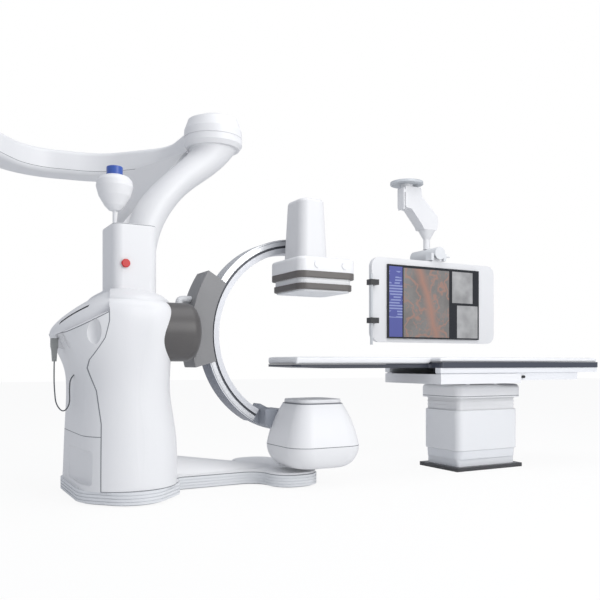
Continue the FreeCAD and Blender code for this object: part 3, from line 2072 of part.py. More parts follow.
def make_detector():
    x, y = size.iso_x, size.iso_y
    z = size.detector_bottom
    block = rounded_block
    keep(
        block(
            "flat_panel_block",
            size.lower_band_size - 40,
            size.lower_band_size - 40,
            size.panel_height,
            size.band_corner - 20,
            (x, y, z),
        ),
        "flat_panel",
    )
    z = z + size.panel_height
    keep(
        block(
            "lower_band_block",
            size.lower_band_size,
            size.lower_band_size,
            size.lower_band_height,
            size.band_corner,
            (x, y, z),
            foot=8,
        ),
        "collision_band_lower",
    )
    z = z + size.lower_band_height
    spigot = block(
        "detector_neck_block",
        size.neck_size,
        size.neck_size,
        size.neck_height,
        size.band_corner - 10,
        (x, y, z),
    )
    z = z + size.neck_height
    core_size = size.neck_size - 60
    core = box(
        "detector_core",
        core_size,
        core_size,
        size.upper_band_height,
        (x - core_size / 2, y - core_size / 2, z),
    )
    band = block(
        "upper_band_block",
        size.detector_size,
        size.detector_size,
        size.upper_band_height,
        size.band_corner,
        (x, y, z),
        rim=6,
        foot=6,
    )
    keep(cut("upper_band_cut", band, core), "collision_band_upper")
    z = z + size.upper_band_height
    shell = block(
        "detector_cover_block",
        size.detector_size - 6,
        size.detector_size - 6,
        size.cover_height,
        size.cover_corner,
        (x, y, z),
        rim=size.cover_shoulder,
    )
    half = (size.detector_size - 6) / 2
    bumps = [
        cylinder(
            "bump_front_left",
            size.bump_radius,
            size.bump_height + 20,
            (x - 90, y - half + 20, z + size.cover_height / 2 - 4),
            (0, -1, 0),
        ),
        cylinder(
            "bump_front_right",
            size.bump_radius,
            size.bump_height + 20,
            (x + 130, y - half + 20, z + size.cover_height / 2 - 4),
            (0, -1, 0),
        ),
    ]
    keep(fuse("detector_cover_fuse", shell, spigot, core, *bumps), "detector_cover")
    z = z + size.cover_height
    tower = block(
        "tower_block",
        size.tower_length,
        size.tower_width,
        size.tower_height,
        size.tower_corner,
        (x + size.tower_offset_x, y + size.tower_offset_y, z),
        rim=size.tower_crown,
        taper=-size.tower_taper,
    )
    guide_rail = guide_form(
        "tower_guide_room", size.running_gap, size.guide_low + 1, size.detector_down
    )
    keep(cut("tower_cut", tower, guide_rail), "detector_tower")
    keep(guide_form("guide_rail", 0, 0, 0), "detector_rail")


def guide_form(name, gap, below, above):
    """The lift rail between the arc and the back of the tower, made longer for its room."""
    back = size.iso_y + size.tower_offset_y + size.tower_width / 2
    x = size.iso_x + size.tower_offset_x
    low = size.detector_bottom + 235
    rail = box(
        name + "_bar",
        size.guide_width + gap * 2,
        size.arc_front - back + size.guide_depth * 2 + gap,
        size.guide_height + below + above,
        (
            x - size.guide_width / 2 - gap,
            back - size.guide_depth * 2 - gap,
            low + size.guide_low - below,
        ),
    )
    return rail


# display on its ceiling arm


def make_display_arm():
    x, y = size.display_arm_x, size.display_arm_y
    body = new_body("ceiling_disc_body")
    sketch = sketch_on(body, "XY_Plane")
    circle(sketch, size.ceiling_disc_radius)
    for index in range(4):
        angle = math.radians(45 + 90 * index)
        circle(
            sketch,
            size.ceiling_bolt_radius,
            size.ceiling_bolt_circle * math.cos(angle),
            size.ceiling_bolt_circle * math.sin(angle),
        )
    pad(body, sketch, size.ceiling_disc_thickness)
    neck = sketch_on(body, "XY_Plane", -20)
    circle(neck, size.post_radius)
    pad(body, neck, 21)
    bind(body, x=x, y=y, z=size.ceiling_disc_bottom)
    keep(body, "display_ceiling_plate")

    half = size.arm_width / 2
    arm = prism(
        "arm_form",
        [
            (72, 2605),
            (268, 2605),
            (275, 2520),
            (470, 2345),
            (482, 2295),
            (466, 2200),
            (300, 2200),
            (285, 2232),
            (150, 2385),
            (72, 2400),
        ],
        y - half,
        y + half,
    )
    dress(arm, "Fillet", lambda edge: edge.BoundBox.YMax - edge.BoundBox.YMin > 100, Radius=18)
    fin = box("arm_fin", size.arm_fin_thickness, half * 1.4, 210, (40, y - half * 1.2, 2372))
    fin_link = box("arm_fin_link", 30, half, 30, (50, y - half, 2540))
    pivot = cylinder(
        "arm_pivot_bore",
        size.post_radius + size.shaft_gap,
        60,
        (x, y, size.ceiling_disc_bottom - 20 - 0.3),
    )
    collar = cylinder(
        "arm_collar",
        size.post_radius + 26,
        40,
        (x, y, size.ceiling_disc_bottom - size.running_gap - 40),
    )
    bore = cylinder("arm_post_bore", 24 + 0.05, 80, (size.post_x, y, size.post_top - 20))
    keep(
        cut("arm_cut", fuse("arm_fuse", arm, fin, fin_link, collar), pivot, bore),
        "display_arm",
    )

    post = new_body("post_body")
    sketch = sketch_on(post, "XZ_Plane")
    tall = size.post_top - size.post_bottom
    polygon(
        sketch,
        [
            (0, 0),
            (size.post_radius, 0),
            (size.post_radius, tall - size.cone_height),
            (size.cone_radius, tall - size.running_gap),
            (24, tall - size.running_gap),
            (24, tall + 50),
            (0, tall + 50),
        ],
    )
    revolve(post, sketch)
    bind(post, x=size.post_x, y=y, z=size.post_bottom)
    keep(post, "display_post")


def make_display_yoke():
    """A barrel under the post, with a block below that the display tilts in."""
    y = size.barrel_front
    x = size.post_x
    z = size.post_bottom - size.barrel_radius
    barrel = cylinder("barrel", size.barrel_radius, size.barrel_length, (x, y, z), (0, 1, 0))
    depth = size.yoke_depth
    block = box(
        "yoke_block",
        size.yoke_width,
        depth,
        z - size.yoke_bottom,
        (x - size.yoke_width / 2, size.tilt_y - depth / 2, size.yoke_bottom),
    )
    bore = cylinder(
        "yoke_pin_bore",
        size.tilt_pin_radius + size.shaft_gap,
        size.yoke_width + 20,
        (x - size.yoke_width / 2 - 10, size.tilt_y, size.tilt_z),
        (1, 0, 0),
    )
    gap = size.running_gap
    room = box(
        "yoke_lug_room",
        size.lug_width + gap * 2,
        depth + 20,
        size.tilt_z + size.lug_room - size.yoke_bottom + 10,
        (x - size.lug_width / 2 - gap, size.tilt_y - depth / 2 - 10, size.yoke_bottom - 10),
    )
    lever = cylinder(
        "yoke_lever",
        7,
        80,
        (x + size.yoke_width / 2 - 5, size.tilt_y, size.tilt_z + size.lug_room),
        (1, 0, 0),
    )
    keep(cut("yoke_cut", fuse("yoke_fuse", barrel, block, lever), bore, room), "display_yoke")


def make_display():
    x = size.screen_centre_x
    screen = new_body("screen_body")
    sketch = sketch_on(screen, "XZ_Plane", -size.screen_front - size.screen_depth)
    rectangle(
        sketch,
        size.screen_width,
        size.screen_height,
        x,
        size.screen_bottom + size.screen_height / 2,
    )
    pad(screen, sketch, size.screen_depth)
    keep(screen, "display_screen")

    frame = new_body("frame_body")
    sketch = sketch_on(frame, "XZ_Plane", -size.frame_front - size.frame_depth)
    middle = size.frame_bottom + size.frame_height / 2
    rectangle(sketch, size.frame_width, size.frame_height, size.frame_centre_x, middle)
    rectangle(
        sketch,
        size.screen_width,
        size.screen_height,
        x,
        size.screen_bottom + size.screen_height / 2,
    )
    pad(frame, sketch, size.frame_depth)

    def outer_corner(edge):
        box_of = edge.BoundBox
        far = abs(box_of.XMin - float(size.frame_centre_x)) > float(size.frame_width) / 2 - 1
        return far and box_of.YMax - box_of.YMin > float(size.frame_depth) - 1

    dress(frame, "Fillet", outer_corner, Radius=size.frame_corner)
    lug = box(
        "tilt_lug",
        size.lug_width,
        size.lug_depth,
        size.lug_top - size.frame_bottom - size.frame_height + 4,
        (
            size.post_x - size.lug_width / 2,
            size.frame_front,
            size.frame_bottom + size.frame_height - 4,
        ),
    )
    pin = cylinder(
        "tilt_pin",
        size.tilt_pin_radius,
        size.yoke_width,
        (size.post_x - size.yoke_width / 2, size.tilt_y, size.tilt_z),
        (1, 0, 0),
    )
    keep(fuse("display_frame_fuse", frame, lug, pin), "display_frame")

    frame_edge = size.frame_centre_x - size.frame_width / 2
    rod_x = frame_edge - size.handle_offset
    rod = cylinder(
        "handle_rod",
        size.handle_radius,
        size.handle_length,
        (rod_x, size.handle_y, size.handle_bottom),
    )
    reach = size.handle_radius + 8
    clamps = [
        box(
            f"handle_clamp_{index}",
            size.handle_offset + reach * 2.6,
            size.frame_front - size.handle_y + reach,
            size.clamp_height,
            (rod_x - reach, size.handle_y - reach, size.handle_bottom + offset),
        )
        for index, offset in enumerate((size.clamp_low, size.clamp_high))
    ]
    keep(fuse("handle_fuse", rod, *clamps), "display_handle")


# handset and its cord on the left of the gantry


# the cord's points, from the handset's foot down, round and up into the cover
CORD_POINTS = [
    (-3355, 200, 880),
    (-3357, 202, 775),
    (-3353, 199, 680),
    (-3345, 197, 600),
    (-3300, 194, 546),
    (-3258, 191, 600),
    (-3263, 190, 700),
    (-3256, 190, 775),
    (-3215, 190, 806),
]


def make_handset():
    depth = size.handset_thickness
    inner = -3335
    y = size.gantry_centre_y
    foot = 880
    holder = box("holder_box", 160, 64, 60, (inner, y - 32, 965))
    keep(cut("holder_cut", holder, cover_loft("holder_trim", 0)), "handset_holder")
    keep(
        rounded_block(
            "handset_block",
            depth,
            size.handset_width,
            size.handset_height,
            depth / 3,
            (inner - depth / 2, y, foot),
            rim=6,
            foot=6,
        ),
        "handset",
    )
    points = [Vector(*point) for point in CORD_POINTS]
    radii = bend_radii(points)
    solid, length = tube_along(points, float(size.cord_radius), radii)
    print("cord bends", [round(radius, 1) for radius in radii], "length", round(length, 1))
    cord = feature("cord_tube", solid)
    keep(cut("cord_cut", cord, cover_loft("cord_trim", 0)), "handset_cord")


def build():
    make_floor_plate()
    make_pedestal()
    make_sleeve()
    make_head()
    make_carriage()
    make_knob()
    make_tabletop()
    make_base()
    make_deck()
    make_wheels()
    make_covers()
    make_lid_and_collar()
    make_neck()
    make_estop()
    make_laser()
    make_boom()
    make_hub()
    make_carrier()
    make_arc()
    make_tube_housing()
    make_detector()
    make_display_arm()
    make_display_yoke()
    make_display()
    make_handset()


def check_and_export():
    doc.recompute()
    for item in doc.Objects:
        if {"Invalid", "Error"} & set(item.State):
            raise RuntimeError(f"{item.Label} failed: {item.State}")
    for item in SUBPARTS:
        if item.Shape.isNull() or not item.Shape.isValid():
            raise RuntimeError(f"{item.Label} has no valid shape")
        print(item.Label, len(item.Shape.Solids), round(item.Shape.Volume / 1e6, 2), "litres")
        item.Shape.exportStep(f"parts/{item.Label}.step")


build()
check_and_export()
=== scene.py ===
# %% [markdown]
# # An angiography system
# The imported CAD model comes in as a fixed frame: a patient table, a wheeled gantry with an
# X-ray C-arm and a ceiling boom, and a display on a ceiling arm. This notebook dresses it:
# a camera and soft light, one finish for each kind of surface, and the soft or small pieces
# that solids show badly. The order is camera, cord, finishes, then the new pieces.

# %% Load the frame
import math

import bpy
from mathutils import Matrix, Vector


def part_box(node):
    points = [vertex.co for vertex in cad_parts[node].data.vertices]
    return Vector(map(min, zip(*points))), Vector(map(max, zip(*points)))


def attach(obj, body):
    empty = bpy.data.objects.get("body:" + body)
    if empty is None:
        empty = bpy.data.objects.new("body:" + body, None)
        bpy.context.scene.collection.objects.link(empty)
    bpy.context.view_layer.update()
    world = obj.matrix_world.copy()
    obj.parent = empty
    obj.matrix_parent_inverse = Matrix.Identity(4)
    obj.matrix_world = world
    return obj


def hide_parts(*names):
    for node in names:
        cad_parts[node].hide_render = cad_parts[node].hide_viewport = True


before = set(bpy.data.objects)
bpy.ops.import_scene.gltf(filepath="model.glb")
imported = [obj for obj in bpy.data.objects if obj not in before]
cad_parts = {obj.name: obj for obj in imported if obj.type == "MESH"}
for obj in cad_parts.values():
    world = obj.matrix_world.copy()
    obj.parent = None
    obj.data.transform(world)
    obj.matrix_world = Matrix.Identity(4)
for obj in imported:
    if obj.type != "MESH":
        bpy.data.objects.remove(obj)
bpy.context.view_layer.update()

# %% [markdown]
# ## Camera
# The picture was taken at eye height, a little below most of the boom, with the camera level.
# A level camera keeps upright edges upright, so the frame is moved up with the lens shift
# instead of tilting the camera.

# %% Camera
EYE = (-4.172, -4.578, 0.870)
VIEW_DIRECTION = (0.482, 0.876)
camera_data = bpy.data.cameras.new("room camera")
camera_data.lens = 42.54
camera_data.sensor_width = 36.0
camera_data.shift_y = 0.105
camera = bpy.data.objects.new("room camera", camera_data)
bpy.context.scene.collection.objects.link(camera)
camera.location = EYE
camera.rotation_euler = (math.radians(90), 0, math.atan2(-VIEW_DIRECTION[0], VIEW_DIRECTION[1]))
bpy.context.scene.camera = camera

# %% [markdown]
# ## Working by hand
# Every new piece is made with the same tools as in the window: add a primitive, go into edit
# mode, pick faces or edges, and shape them. The helpers below do the picking, because an
# operator works on whatever is selected, and the frame's own nodes come in selected.


# %% Helpers for modelling
def select_only(piece):
    """Deselect everything, then make one piece selected and active."""
    bpy.ops.object.select_all(action="DESELECT")
    piece.select_set(True)
    bpy.context.view_layer.objects.active = piece


def pick(piece, kind, test):
    """In edit mode, select the vertices, edges or faces whose middle passes a test."""
    modes = {"verts": "VERT", "edges": "EDGE", "faces": "FACE"}
    bpy.ops.mesh.select_mode(type=modes[kind])
    bpy.ops.mesh.select_all(action="DESELECT")
    bpy.ops.object.mode_set(mode="OBJECT")
    mesh = piece.data
    for item in getattr(mesh, {"verts": "vertices", "edges": "edges", "faces": "polygons"}[kind]):
        if kind == "verts":
            middle = item.co
        elif kind == "edges":
            middle = (mesh.vertices[item.vertices[0]].co + mesh.vertices[item.vertices[1]].co) / 2
        else:
            middle = item.center
        item.select = bool(test(middle, item))
    bpy.ops.object.mode_set(mode="EDIT")


def settle(piece):
    """Apply place, turn and size, so that the piece sits at the origin like a CAD node."""
    select_only(piece)
    bpy.ops.object.transform_apply(location=True, rotation=True, scale=True)


def smooth(piece, angle=35):
    select_only(piece)
    bpy.ops.object.shade_smooth_by_angle(angle=math.radians(angle))


def add_modifier(piece, kind, **settings):
    """Add a modifier, set it and apply it."""
    select_only(piece)
    modifier = piece.modifiers.new(kind.lower(), kind)
    for name, setting in settings.items():
        setattr(modifier, name, setting)
    bpy.ops.object.modifier_apply(modifier=modifier.name)


def round_edges(piece, width, segments, angle):
    """Bevel the edges that turn by more than an angle in degrees."""
    limit = math.radians(angle)
    settings = {"width": width, "segments": segments, "angle_limit": limit}
    add_modifier(piece, "BEVEL", limit_method="ANGLE", **settings)


def finish_piece(piece, name, body, material):
    """Name a piece, give it its finish, and tell the frame what it rides on."""
    piece.name = name
    piece.data.name = name
    piece.data.materials.clear()
    piece.data.materials.append(material)
    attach(piece, body)
    return piece


# %% [markdown]
# ## Light and room
# A product picture on white: one broad light in front on the right, a weaker, slightly blue
# light all round, and a pale floor. The floor and the world are made white for the camera
# alone, with Light Path, so that no extra light falls on the machine.


# %% Room
def area_light(name, place, aim, size, power, colour):
    data = bpy.data.lights.new(name, "AREA")
    data.shape = "SQUARE"
    data.size = size
    data.energy = power
    data.color = colour
    lamp = bpy.data.objects.new(name, data)
    bpy.context.scene.collection.objects.link(lamp)
    lamp.location = place
    lamp.rotation_euler = (Vector(aim) - Vector(place)).to_track_quat("-Z", "Y").to_euler()


area_light("front light", (0.5, -6.5, 3.6), (-1.3, 0, 1.0), 4.5, 235, (1.0, 0.99, 0.975))
area_light("top light", (-1.2, -1.0, 5.6), (-1.4, 0.2, 1.0), 4.0, 90, (1.0, 1.0, 1.0))

world = bpy.data.worlds.new("white room")
bpy.context.scene.world = world
world.use_nodes = True
room = world.node_tree
room.nodes.clear()
ambient = room.nodes.new("ShaderNodeBackground")
ambient.inputs["Color"].default_value = (0.90, 0.93, 1.0, 1)
ambient.inputs["Strength"].default_value = 0.60
seen = room.nodes.new("ShaderNodeBackground")
seen.inputs["Color"].default_value = (1, 1, 1, 1)
seen.inputs["Strength"].default_value = 1.0
rays = room.nodes.new("ShaderNodeLightPath")
chooser = room.nodes.new("ShaderNodeMixShader")
out = room.nodes.new("ShaderNodeOutputWorld")
seen_directly = room.nodes.new("ShaderNodeMath")
seen_directly.operation = "MAXIMUM"
room.links.new(rays.outputs["Is Camera Ray"], seen_directly.inputs[0])
room.links.new(rays.outputs["Is Transmission Ray"], seen_directly.inputs[1])
room.links.new(seen_directly.outputs[0], chooser.inputs["Fac"])
room.links.new(ambient.outputs[0], chooser.inputs[1])
room.links.new(seen.outputs[0], chooser.inputs[2])
room.links.new(chooser.outputs[0], out.inputs["Surface"])

bpy.ops.object.select_all(action="DESELECT")
bpy.ops.mesh.primitive_plane_add(size=60, location=(0, 0, 0))
floor = bpy.context.active_object
floor.name = "floor"

# %% [markdown]
# ## Shader arithmetic
# A finish is a small sum of masks: where is the seam, how far from the middle, how grainy.
# The class below wraps a node's output so that such sums can be written as plain Python.


# %% A class for finishes
class Signal:
    """A node's output. Arithmetic on it adds Math nodes."""

    def __init__(self, finish, output):
        self.finish = finish
        self.output = output

    def math(self, operation, other=None, flipped=False):
        first, second = (other, self) if flipped else (self, other)
        inputs = {0: first} if second is None else {0: first, 1: second}
        return self.finish.node("ShaderNodeMath", {"operation": operation}, inputs)

    def __add__(self, other):
        return self.math("ADD", other)

    def __radd__(self, other):
        return self.math("ADD", other, True)

    def __sub__(self, other):
        return self.math("SUBTRACT", other)

    def __rsub__(self, other):
        return self.math("SUBTRACT", other, True)

    def __mul__(self, other):
        return self.math("MULTIPLY", other)

    def __rmul__(self, other):
        return self.math("MULTIPLY", other, True)

    def __truediv__(self, other):
        return self.math("DIVIDE", other)

    def __abs__(self):
        return self.math("ABSOLUTE")

    def __lt__(self, other):
        return self.math("LESS_THAN", other)

    def __gt__(self, other):
        return self.math("GREATER_THAN", other)

    def least(self, other):
        return self.math("MINIMUM", other)

    def most(self, other):
        return self.math("MAXIMUM", other)


class Finish:
    """A material built on the Principled shader, with Object coordinates in metres."""

    def __init__(self, name, roughness=0.4, metallic=0.0, coat=0.0):
        self.material = bpy.data.materials.new(name)
        self.material.use_nodes = True
        self.tree = self.material.node_tree
        self.shader = self.tree.nodes["Principled BSDF"]
        self.shader.inputs["Roughness"].default_value = roughness
        self.shader.inputs["Metallic"].default_value = metallic
        self.shader.inputs["Coat Weight"].default_value = coat
        self.shader.inputs["Coat Roughness"].default_value = 0.3
        self.place = self.node("ShaderNodeTexCoord", out="Object")
        self.height = None

    def node(self, kind, settings=None, inputs=None, out=0):
        """Add any node: its settings first, then the values or links of its sockets."""
        added = self.tree.nodes.new(kind)
        for name, setting in (settings or {}).items():
            if name == "stops":
                for index, (position, colour) in enumerate(setting):
                    if index >= len(added.color_ramp.elements):
                        added.color_ramp.elements.new(position)
                    added.color_ramp.elements[index].position = position
                    added.color_ramp.elements[index].color = colour
            else:
                setattr(added, name, setting)
        for name, amount in (inputs or {}).items():
            if isinstance(amount, Signal):
                self.tree.links.new(amount.output, added.inputs[name])
            else:
                added.inputs[name].default_value = amount
        return Signal(self, added.outputs[out])

    def axes(self):
        """The x, y and z of a point on the piece."""
        parts = self.tree.nodes.new("ShaderNodeSeparateXYZ")
        self.tree.links.new(self.place.output, parts.inputs[0])
        return [Signal(self, parts.outputs[index]) for index in range(3)]

    def noise(self, scale, detail=2.0, roughness=0.5, place=None):
        return self.node(
            "ShaderNodeTexNoise",
            {},
            {
                "Vector": place or self.place,
                "Scale": scale,
                "Detail": detail,
                "Roughness": roughness,
            },
        )

    def blend(self, mask, low, high):
        """A colour that goes from low to high where the mask goes from 0 to 1."""
        mix = self.tree.nodes.new("ShaderNodeMix")
        mix.data_type = "RGBA"
        for index, amount in ((0, mask), (6, low), (7, high)):
            if isinstance(amount, Signal):
                self.tree.links.new(amount.output, mix.inputs[index])
            else:
                mix.inputs[index].default_value = (*amount, 1) if index else amount
        return Signal(self, mix.outputs[2])

    def feed(self, socket, amount):
        if isinstance(amount, Signal):
            self.tree.links.new(amount.output, self.shader.inputs[socket])
        else:
            self.shader.inputs[socket].default_value = amount

    def raise_by(self, height, distance, strength=1.0):
        """Let a mask stand out of the surface, or sink into it where it is negative."""
        bump = self.node(
            "ShaderNodeBump",
            {},
            {"Height": height, "Distance": distance, "Strength": strength},
        )
        if self.height is not None:
            self.tree.links.new(self.height.output, bump.output.node.inputs["Normal"])
        self.height = bump
        self.tree.links.new(bump.output, self.shader.inputs["Normal"])


def band(position, centre, half_width):
    """1 within a distance of a centre, 0 beyond."""
    return abs(position - centre) < half_width


# %% [markdown]
# ## The floor
# The floor is a pale diffuse sheet that still takes the machine's shadow. For camera rays
# alone it is lifted to white.

# %% Floor finish
floor_finish = Finish("pale floor", roughness=0.9)
speckle = floor_finish.noise(3.0)
floor_finish.feed("Base Color", floor_finish.blend(speckle, (0.93, 0.93, 0.93), (0.96, 0.96, 0.96)))
floor_lift = floor_finish.tree.nodes.new("ShaderNodeEmission")
floor_lift.inputs["Color"].default_value = (1, 1, 1, 1)
floor_lift.inputs["Strength"].default_value = 1.0
floor_path = floor_finish.tree.nodes.new("ShaderNodeLightPath")
floor_amount = Signal(floor_finish, floor_path.outputs["Is Camera Ray"]) * 0.91
floor_mix = floor_finish.tree.nodes.new("ShaderNodeMixShader")
floor_out = floor_finish.tree.nodes["Material Output"]
floor_finish.tree.links.new(floor_amount.output, floor_mix.inputs["Fac"])
floor_finish.tree.links.new(floor_finish.shader.outputs[0], floor_mix.inputs[1])
floor_finish.tree.links.new(floor_lift.outputs[0], floor_mix.inputs[2])
floor_finish.tree.links.new(floor_mix.outputs[0], floor_out.inputs["Surface"])
floor.data.materials.append(floor_finish.material)

# %% [markdown]
# ## The handset's cord
# A limp cord hangs from the handset's foot, turns at the bottom of its loop and goes into the
# cover. One NURBS spline with a few control points gives the smooth hang of rubber.

# %% Cord
CORD_ROUTE = [
    (-3.355, 0.200, 0.880),
    (-3.357, 0.202, 0.775),
    (-3.353, 0.199, 0.680),
    (-3.345, 0.197, 0.600),
    (-3.300, 0.194, 0.546),
    (-3.258, 0.191, 0.600),
    (-3.263, 0.190, 0.700),
    (-3.256, 0.190, 0.775),
    (-3.226, 0.190, 0.798),
]
CORD_DIAMETER = 0.0084
cord_finish = Finish("cord rubber", roughness=0.55)
cord_grain = cord_finish.noise(900.0)
cord_tone = cord_finish.blend(cord_grain, (0.10, 0.11, 0.12), (0.16, 0.17, 0.18))
cord_finish.feed("Base Color", cord_tone)
cord_finish.raise_by(cord_grain, 0.0002)
cord_data = bpy.data.curves.new("handset lead", "CURVE")
cord_data.dimensions = "3D"
cord_data.bevel_depth = CORD_DIAMETER / 2
cord_data.bevel_resolution = 4
cord_data.use_fill_caps = True
spline = cord_data.splines.new("NURBS")
spline.points.add(len(CORD_ROUTE) - 1)
for point, place in zip(spline.points, CORD_ROUTE):
    point.co = (*place, 1)
spline.order_u = 3
spline.use_endpoint_u = True
spline.resolution_u = 12
cord = bpy.data.objects.new("handset_lead", cord_data)
bpy.context.scene.collection.objects.link(cord)
cord_data.materials.append(cord_finish.material)
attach(cord, "gantry")
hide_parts("handset_cord")

# %% [markdown]
# ## White covers
# Most of the machine is white moulded cover with a clear gloss. Real covers are never quite
# even: a very fine orange peel in the gloss, and a trace of grey where hands and mops reach.
# Panel seams are drawn as thin, sunken, darker lines where a plane meets the cover, and the lid's
# slot is painted near black as painted shade.


# %% White covers
def white_cover(name, tone=0.80, warmth=0.0, gloss=0.42, seams=(), hollow=None):
    """White moulded plastic. Each seam is a function of x, y, z that is 1 on its line; a hollow is
    painted near black, as painted shade.
    """
    finish = Finish(name, roughness=gloss, coat=0.08)
    cloud = finish.noise(2.2, 3.0)
    peel = finish.noise(420.0, 1.0)
    light = (tone + 0.015 + warmth, tone + 0.015, tone + 0.02 - warmth)
    dim = (tone - 0.03 + warmth, tone - 0.025, tone - 0.01 - warmth)
    colour = finish.blend(cloud, dim, light)
    x, y, z = finish.axes()
    line = None
    for seam in seams:
        mask = seam(x, y, z)
        line = mask if line is None else line.most(mask)
    if line is not None:
        colour = finish.blend(line, colour, (0.20, 0.21, 0.23))
        finish.raise_by(line, -0.0015)
    if hollow is not None:
        # Painted shade: the hollow, the lid's slot, is coloured near black.
        colour = finish.blend(hollow(x, y, z), colour, (0.05, 0.052, 0.058))
    finish.feed("Base Color", colour)
    finish.feed("Roughness", cloud * 0.08 + (gloss - 0.04))
    finish.raise_by(peel, 0.00006)
    return finish.material


def across(normal_x, normal_z, offset, half_width=0.0022):
    """A seam where a sloping plane, given by its normal in XZ, cuts the cover."""

    def mask(x, y, z):
        return band(x * normal_x + z * normal_z, offset, half_width)

    return mask


# %% [markdown]
# ## Grey, dark and metal finishes
# The carrier sleeve and the hub are dark satin mouldings, the arc is bright metal with a
# polished running band, the floor plates are dark painted steel, and the table top is a
# carbon shell with its weave just visible.


# %% Grey and dark mouldings
def satin_plastic(name, low, high, grain=300.0, roughness=0.45, depth=0.00015):
    finish = Finish(name, roughness=roughness)
    cloud = finish.noise(4.0, 3.0)
    dots = finish.noise(grain, 2.0)
    finish.feed("Base Color", finish.blend(cloud * 0.6 + dots * 0.4, low, high))
    finish.feed("Roughness", dots * 0.12 + (roughness - 0.06))
    finish.raise_by(dots, depth)
    return finish.material


def painted_metal(name, low, high, roughness=0.38):
    finish = Finish(name, roughness=roughness, coat=0.15)
    cloud = finish.noise(3.0, 4.0)
    peel = finish.noise(650.0, 2.0)
    finish.feed("Base Color", finish.blend(cloud, low, high))
    finish.feed("Roughness", peel * 0.1 + (roughness - 0.05))
    finish.raise_by(peel, 0.00008)
    return finish.material


def brushed_metal(name, low, high, stretch=(4.0, 90.0, 90.0), roughness=0.32):
    """Metal with fine lines along one axis, from noise squeezed along the others."""
    finish = Finish(name, roughness=roughness, metallic=0.9)
    pulled = finish.node(
        "ShaderNodeMapping", {}, {"Vector": finish.place, "Scale": stretch}
    )
    lines = finish.noise(9.0, 4.0, place=pulled)
    finish.feed("Base Color", finish.blend(lines, low, high))
    finish.feed("Roughness", lines * 0.16 + (roughness - 0.08))
    finish.raise_by(lines, 0.00008)
    return finish.material


# %% Bright arc with its running band
ISO_X, ISO_Z = -1.64, 1.07
arc_finish = Finish("bright arc", roughness=0.3, metallic=0.4)
arc_x, _, arc_z = arc_finish.axes()
offset_x, offset_z = arc_x - ISO_X, arc_z - ISO_Z
arc_radius = (offset_x * offset_x + offset_z * offset_z).math("SQRT")
arc_cloud = arc_finish.noise(6.0, 3.0)
running_band = arc_radius > 0.676
dark_line = band(arc_radius, 0.668, 0.0085)
fine_line = band(arc_radius, 0.708, 0.0025)
outer_flank = arc_radius > 0.7165
# The outer flank is painted dark blue-grey low down and mid grey towards the top: painted shade
# below, painted light above.
flank_light_share = ((arc_z - 0.90) / 0.50).most(0.0).least(1.0)
flank_shade_tone = arc_finish.blend(flank_light_share, (0.15, 0.165, 0.21), (0.50, 0.51, 0.53))
arc_colour = arc_finish.blend(arc_cloud, (0.58, 0.59, 0.62), (0.66, 0.67, 0.70))
arc_colour = arc_finish.blend(running_band, arc_colour, (0.70, 0.71, 0.73))
arc_colour = arc_finish.blend(fine_line, arc_colour, (0.34, 0.35, 0.37))
arc_colour = arc_finish.blend(outer_flank, arc_colour, flank_shade_tone)
arc_colour = arc_finish.blend(dark_line, arc_colour, (0.09, 0.095, 0.11))
arc_finish.feed("Base Color", arc_colour)
arc_finish.feed("Roughness", 0.42 - running_band * 0.2 + arc_cloud * 0.08)
arc_finish.raise_by(arc_finish.noise(500.0), 0.00005)

# %% Carbon shell of the table top
carbon = Finish("carbon shell", roughness=0.3, coat=0.5)
carbon_x, carbon_y, _ = carbon.axes()
twill = ((carbon_x + carbon_y) * 600.0).math("SINE") * ((carbon_x - carbon_y) * 600.0).math("SINE")
carbon_tone = twill * 0.5 + 0.5
carbon.feed("Base Color", carbon.blend(carbon_tone, (0.020, 0.024, 0.036), (0.045, 0.052, 0.075)))
carbon.feed("Roughness", carbon_tone * 0.12 + 0.26)
carbon.raise_by(carbon_tone, 0.0001)

# %% Handle with dark clamps
handle = Finish("handle grey", roughness=0.35)
handle_z = handle.axes()[2]
clamps = band(handle_z, 1.265, 0.027).most(band(handle_z, 1.620, 0.027))
handle_grain = handle.noise(300.0)
rod_tone = handle.blend(handle_grain, (0.56, 0.58, 0.60), (0.64, 0.66, 0.68))
clamp_tone = handle.blend(handle_grain, (0.03, 0.03, 0.032), (0.06, 0.06, 0.062))
handle.feed("Base Color", handle.blend(clamps, rod_tone, clamp_tone))
handle.feed("Roughness", handle_grain * 0.12 + 0.3)
handle.raise_by(handle_grain, 0.0001)

# %% [markdown]
# ## The screen
# The display shows one big picture field, a blue menu strip at its left and two smaller
# pictures at its right. The fields are rectangles in x and z; the vessels are thin ridges of
# distorted noise, the way contrast medium shows on such a screen. No words are drawn.

# %% Screen picture
screen_low, screen_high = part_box("display_screen")
screen_width = screen_high[0] - screen_low[0]
screen_height = screen_high[2] - screen_low[2]
screen = Finish("screen picture", roughness=0.16)
screen_x, screen_y, screen_z = screen.axes()
across_x = (screen_x - screen_low[0]) / screen_width
up_z = (screen_z - screen_low[2]) / screen_height


def field(left, right, low, high):
    """1 inside a rectangle of the screen, given as shares of its width and height."""
    inside = (across_x > left) * (across_x < right)
    return inside * (up_z > low) * (up_z < high)


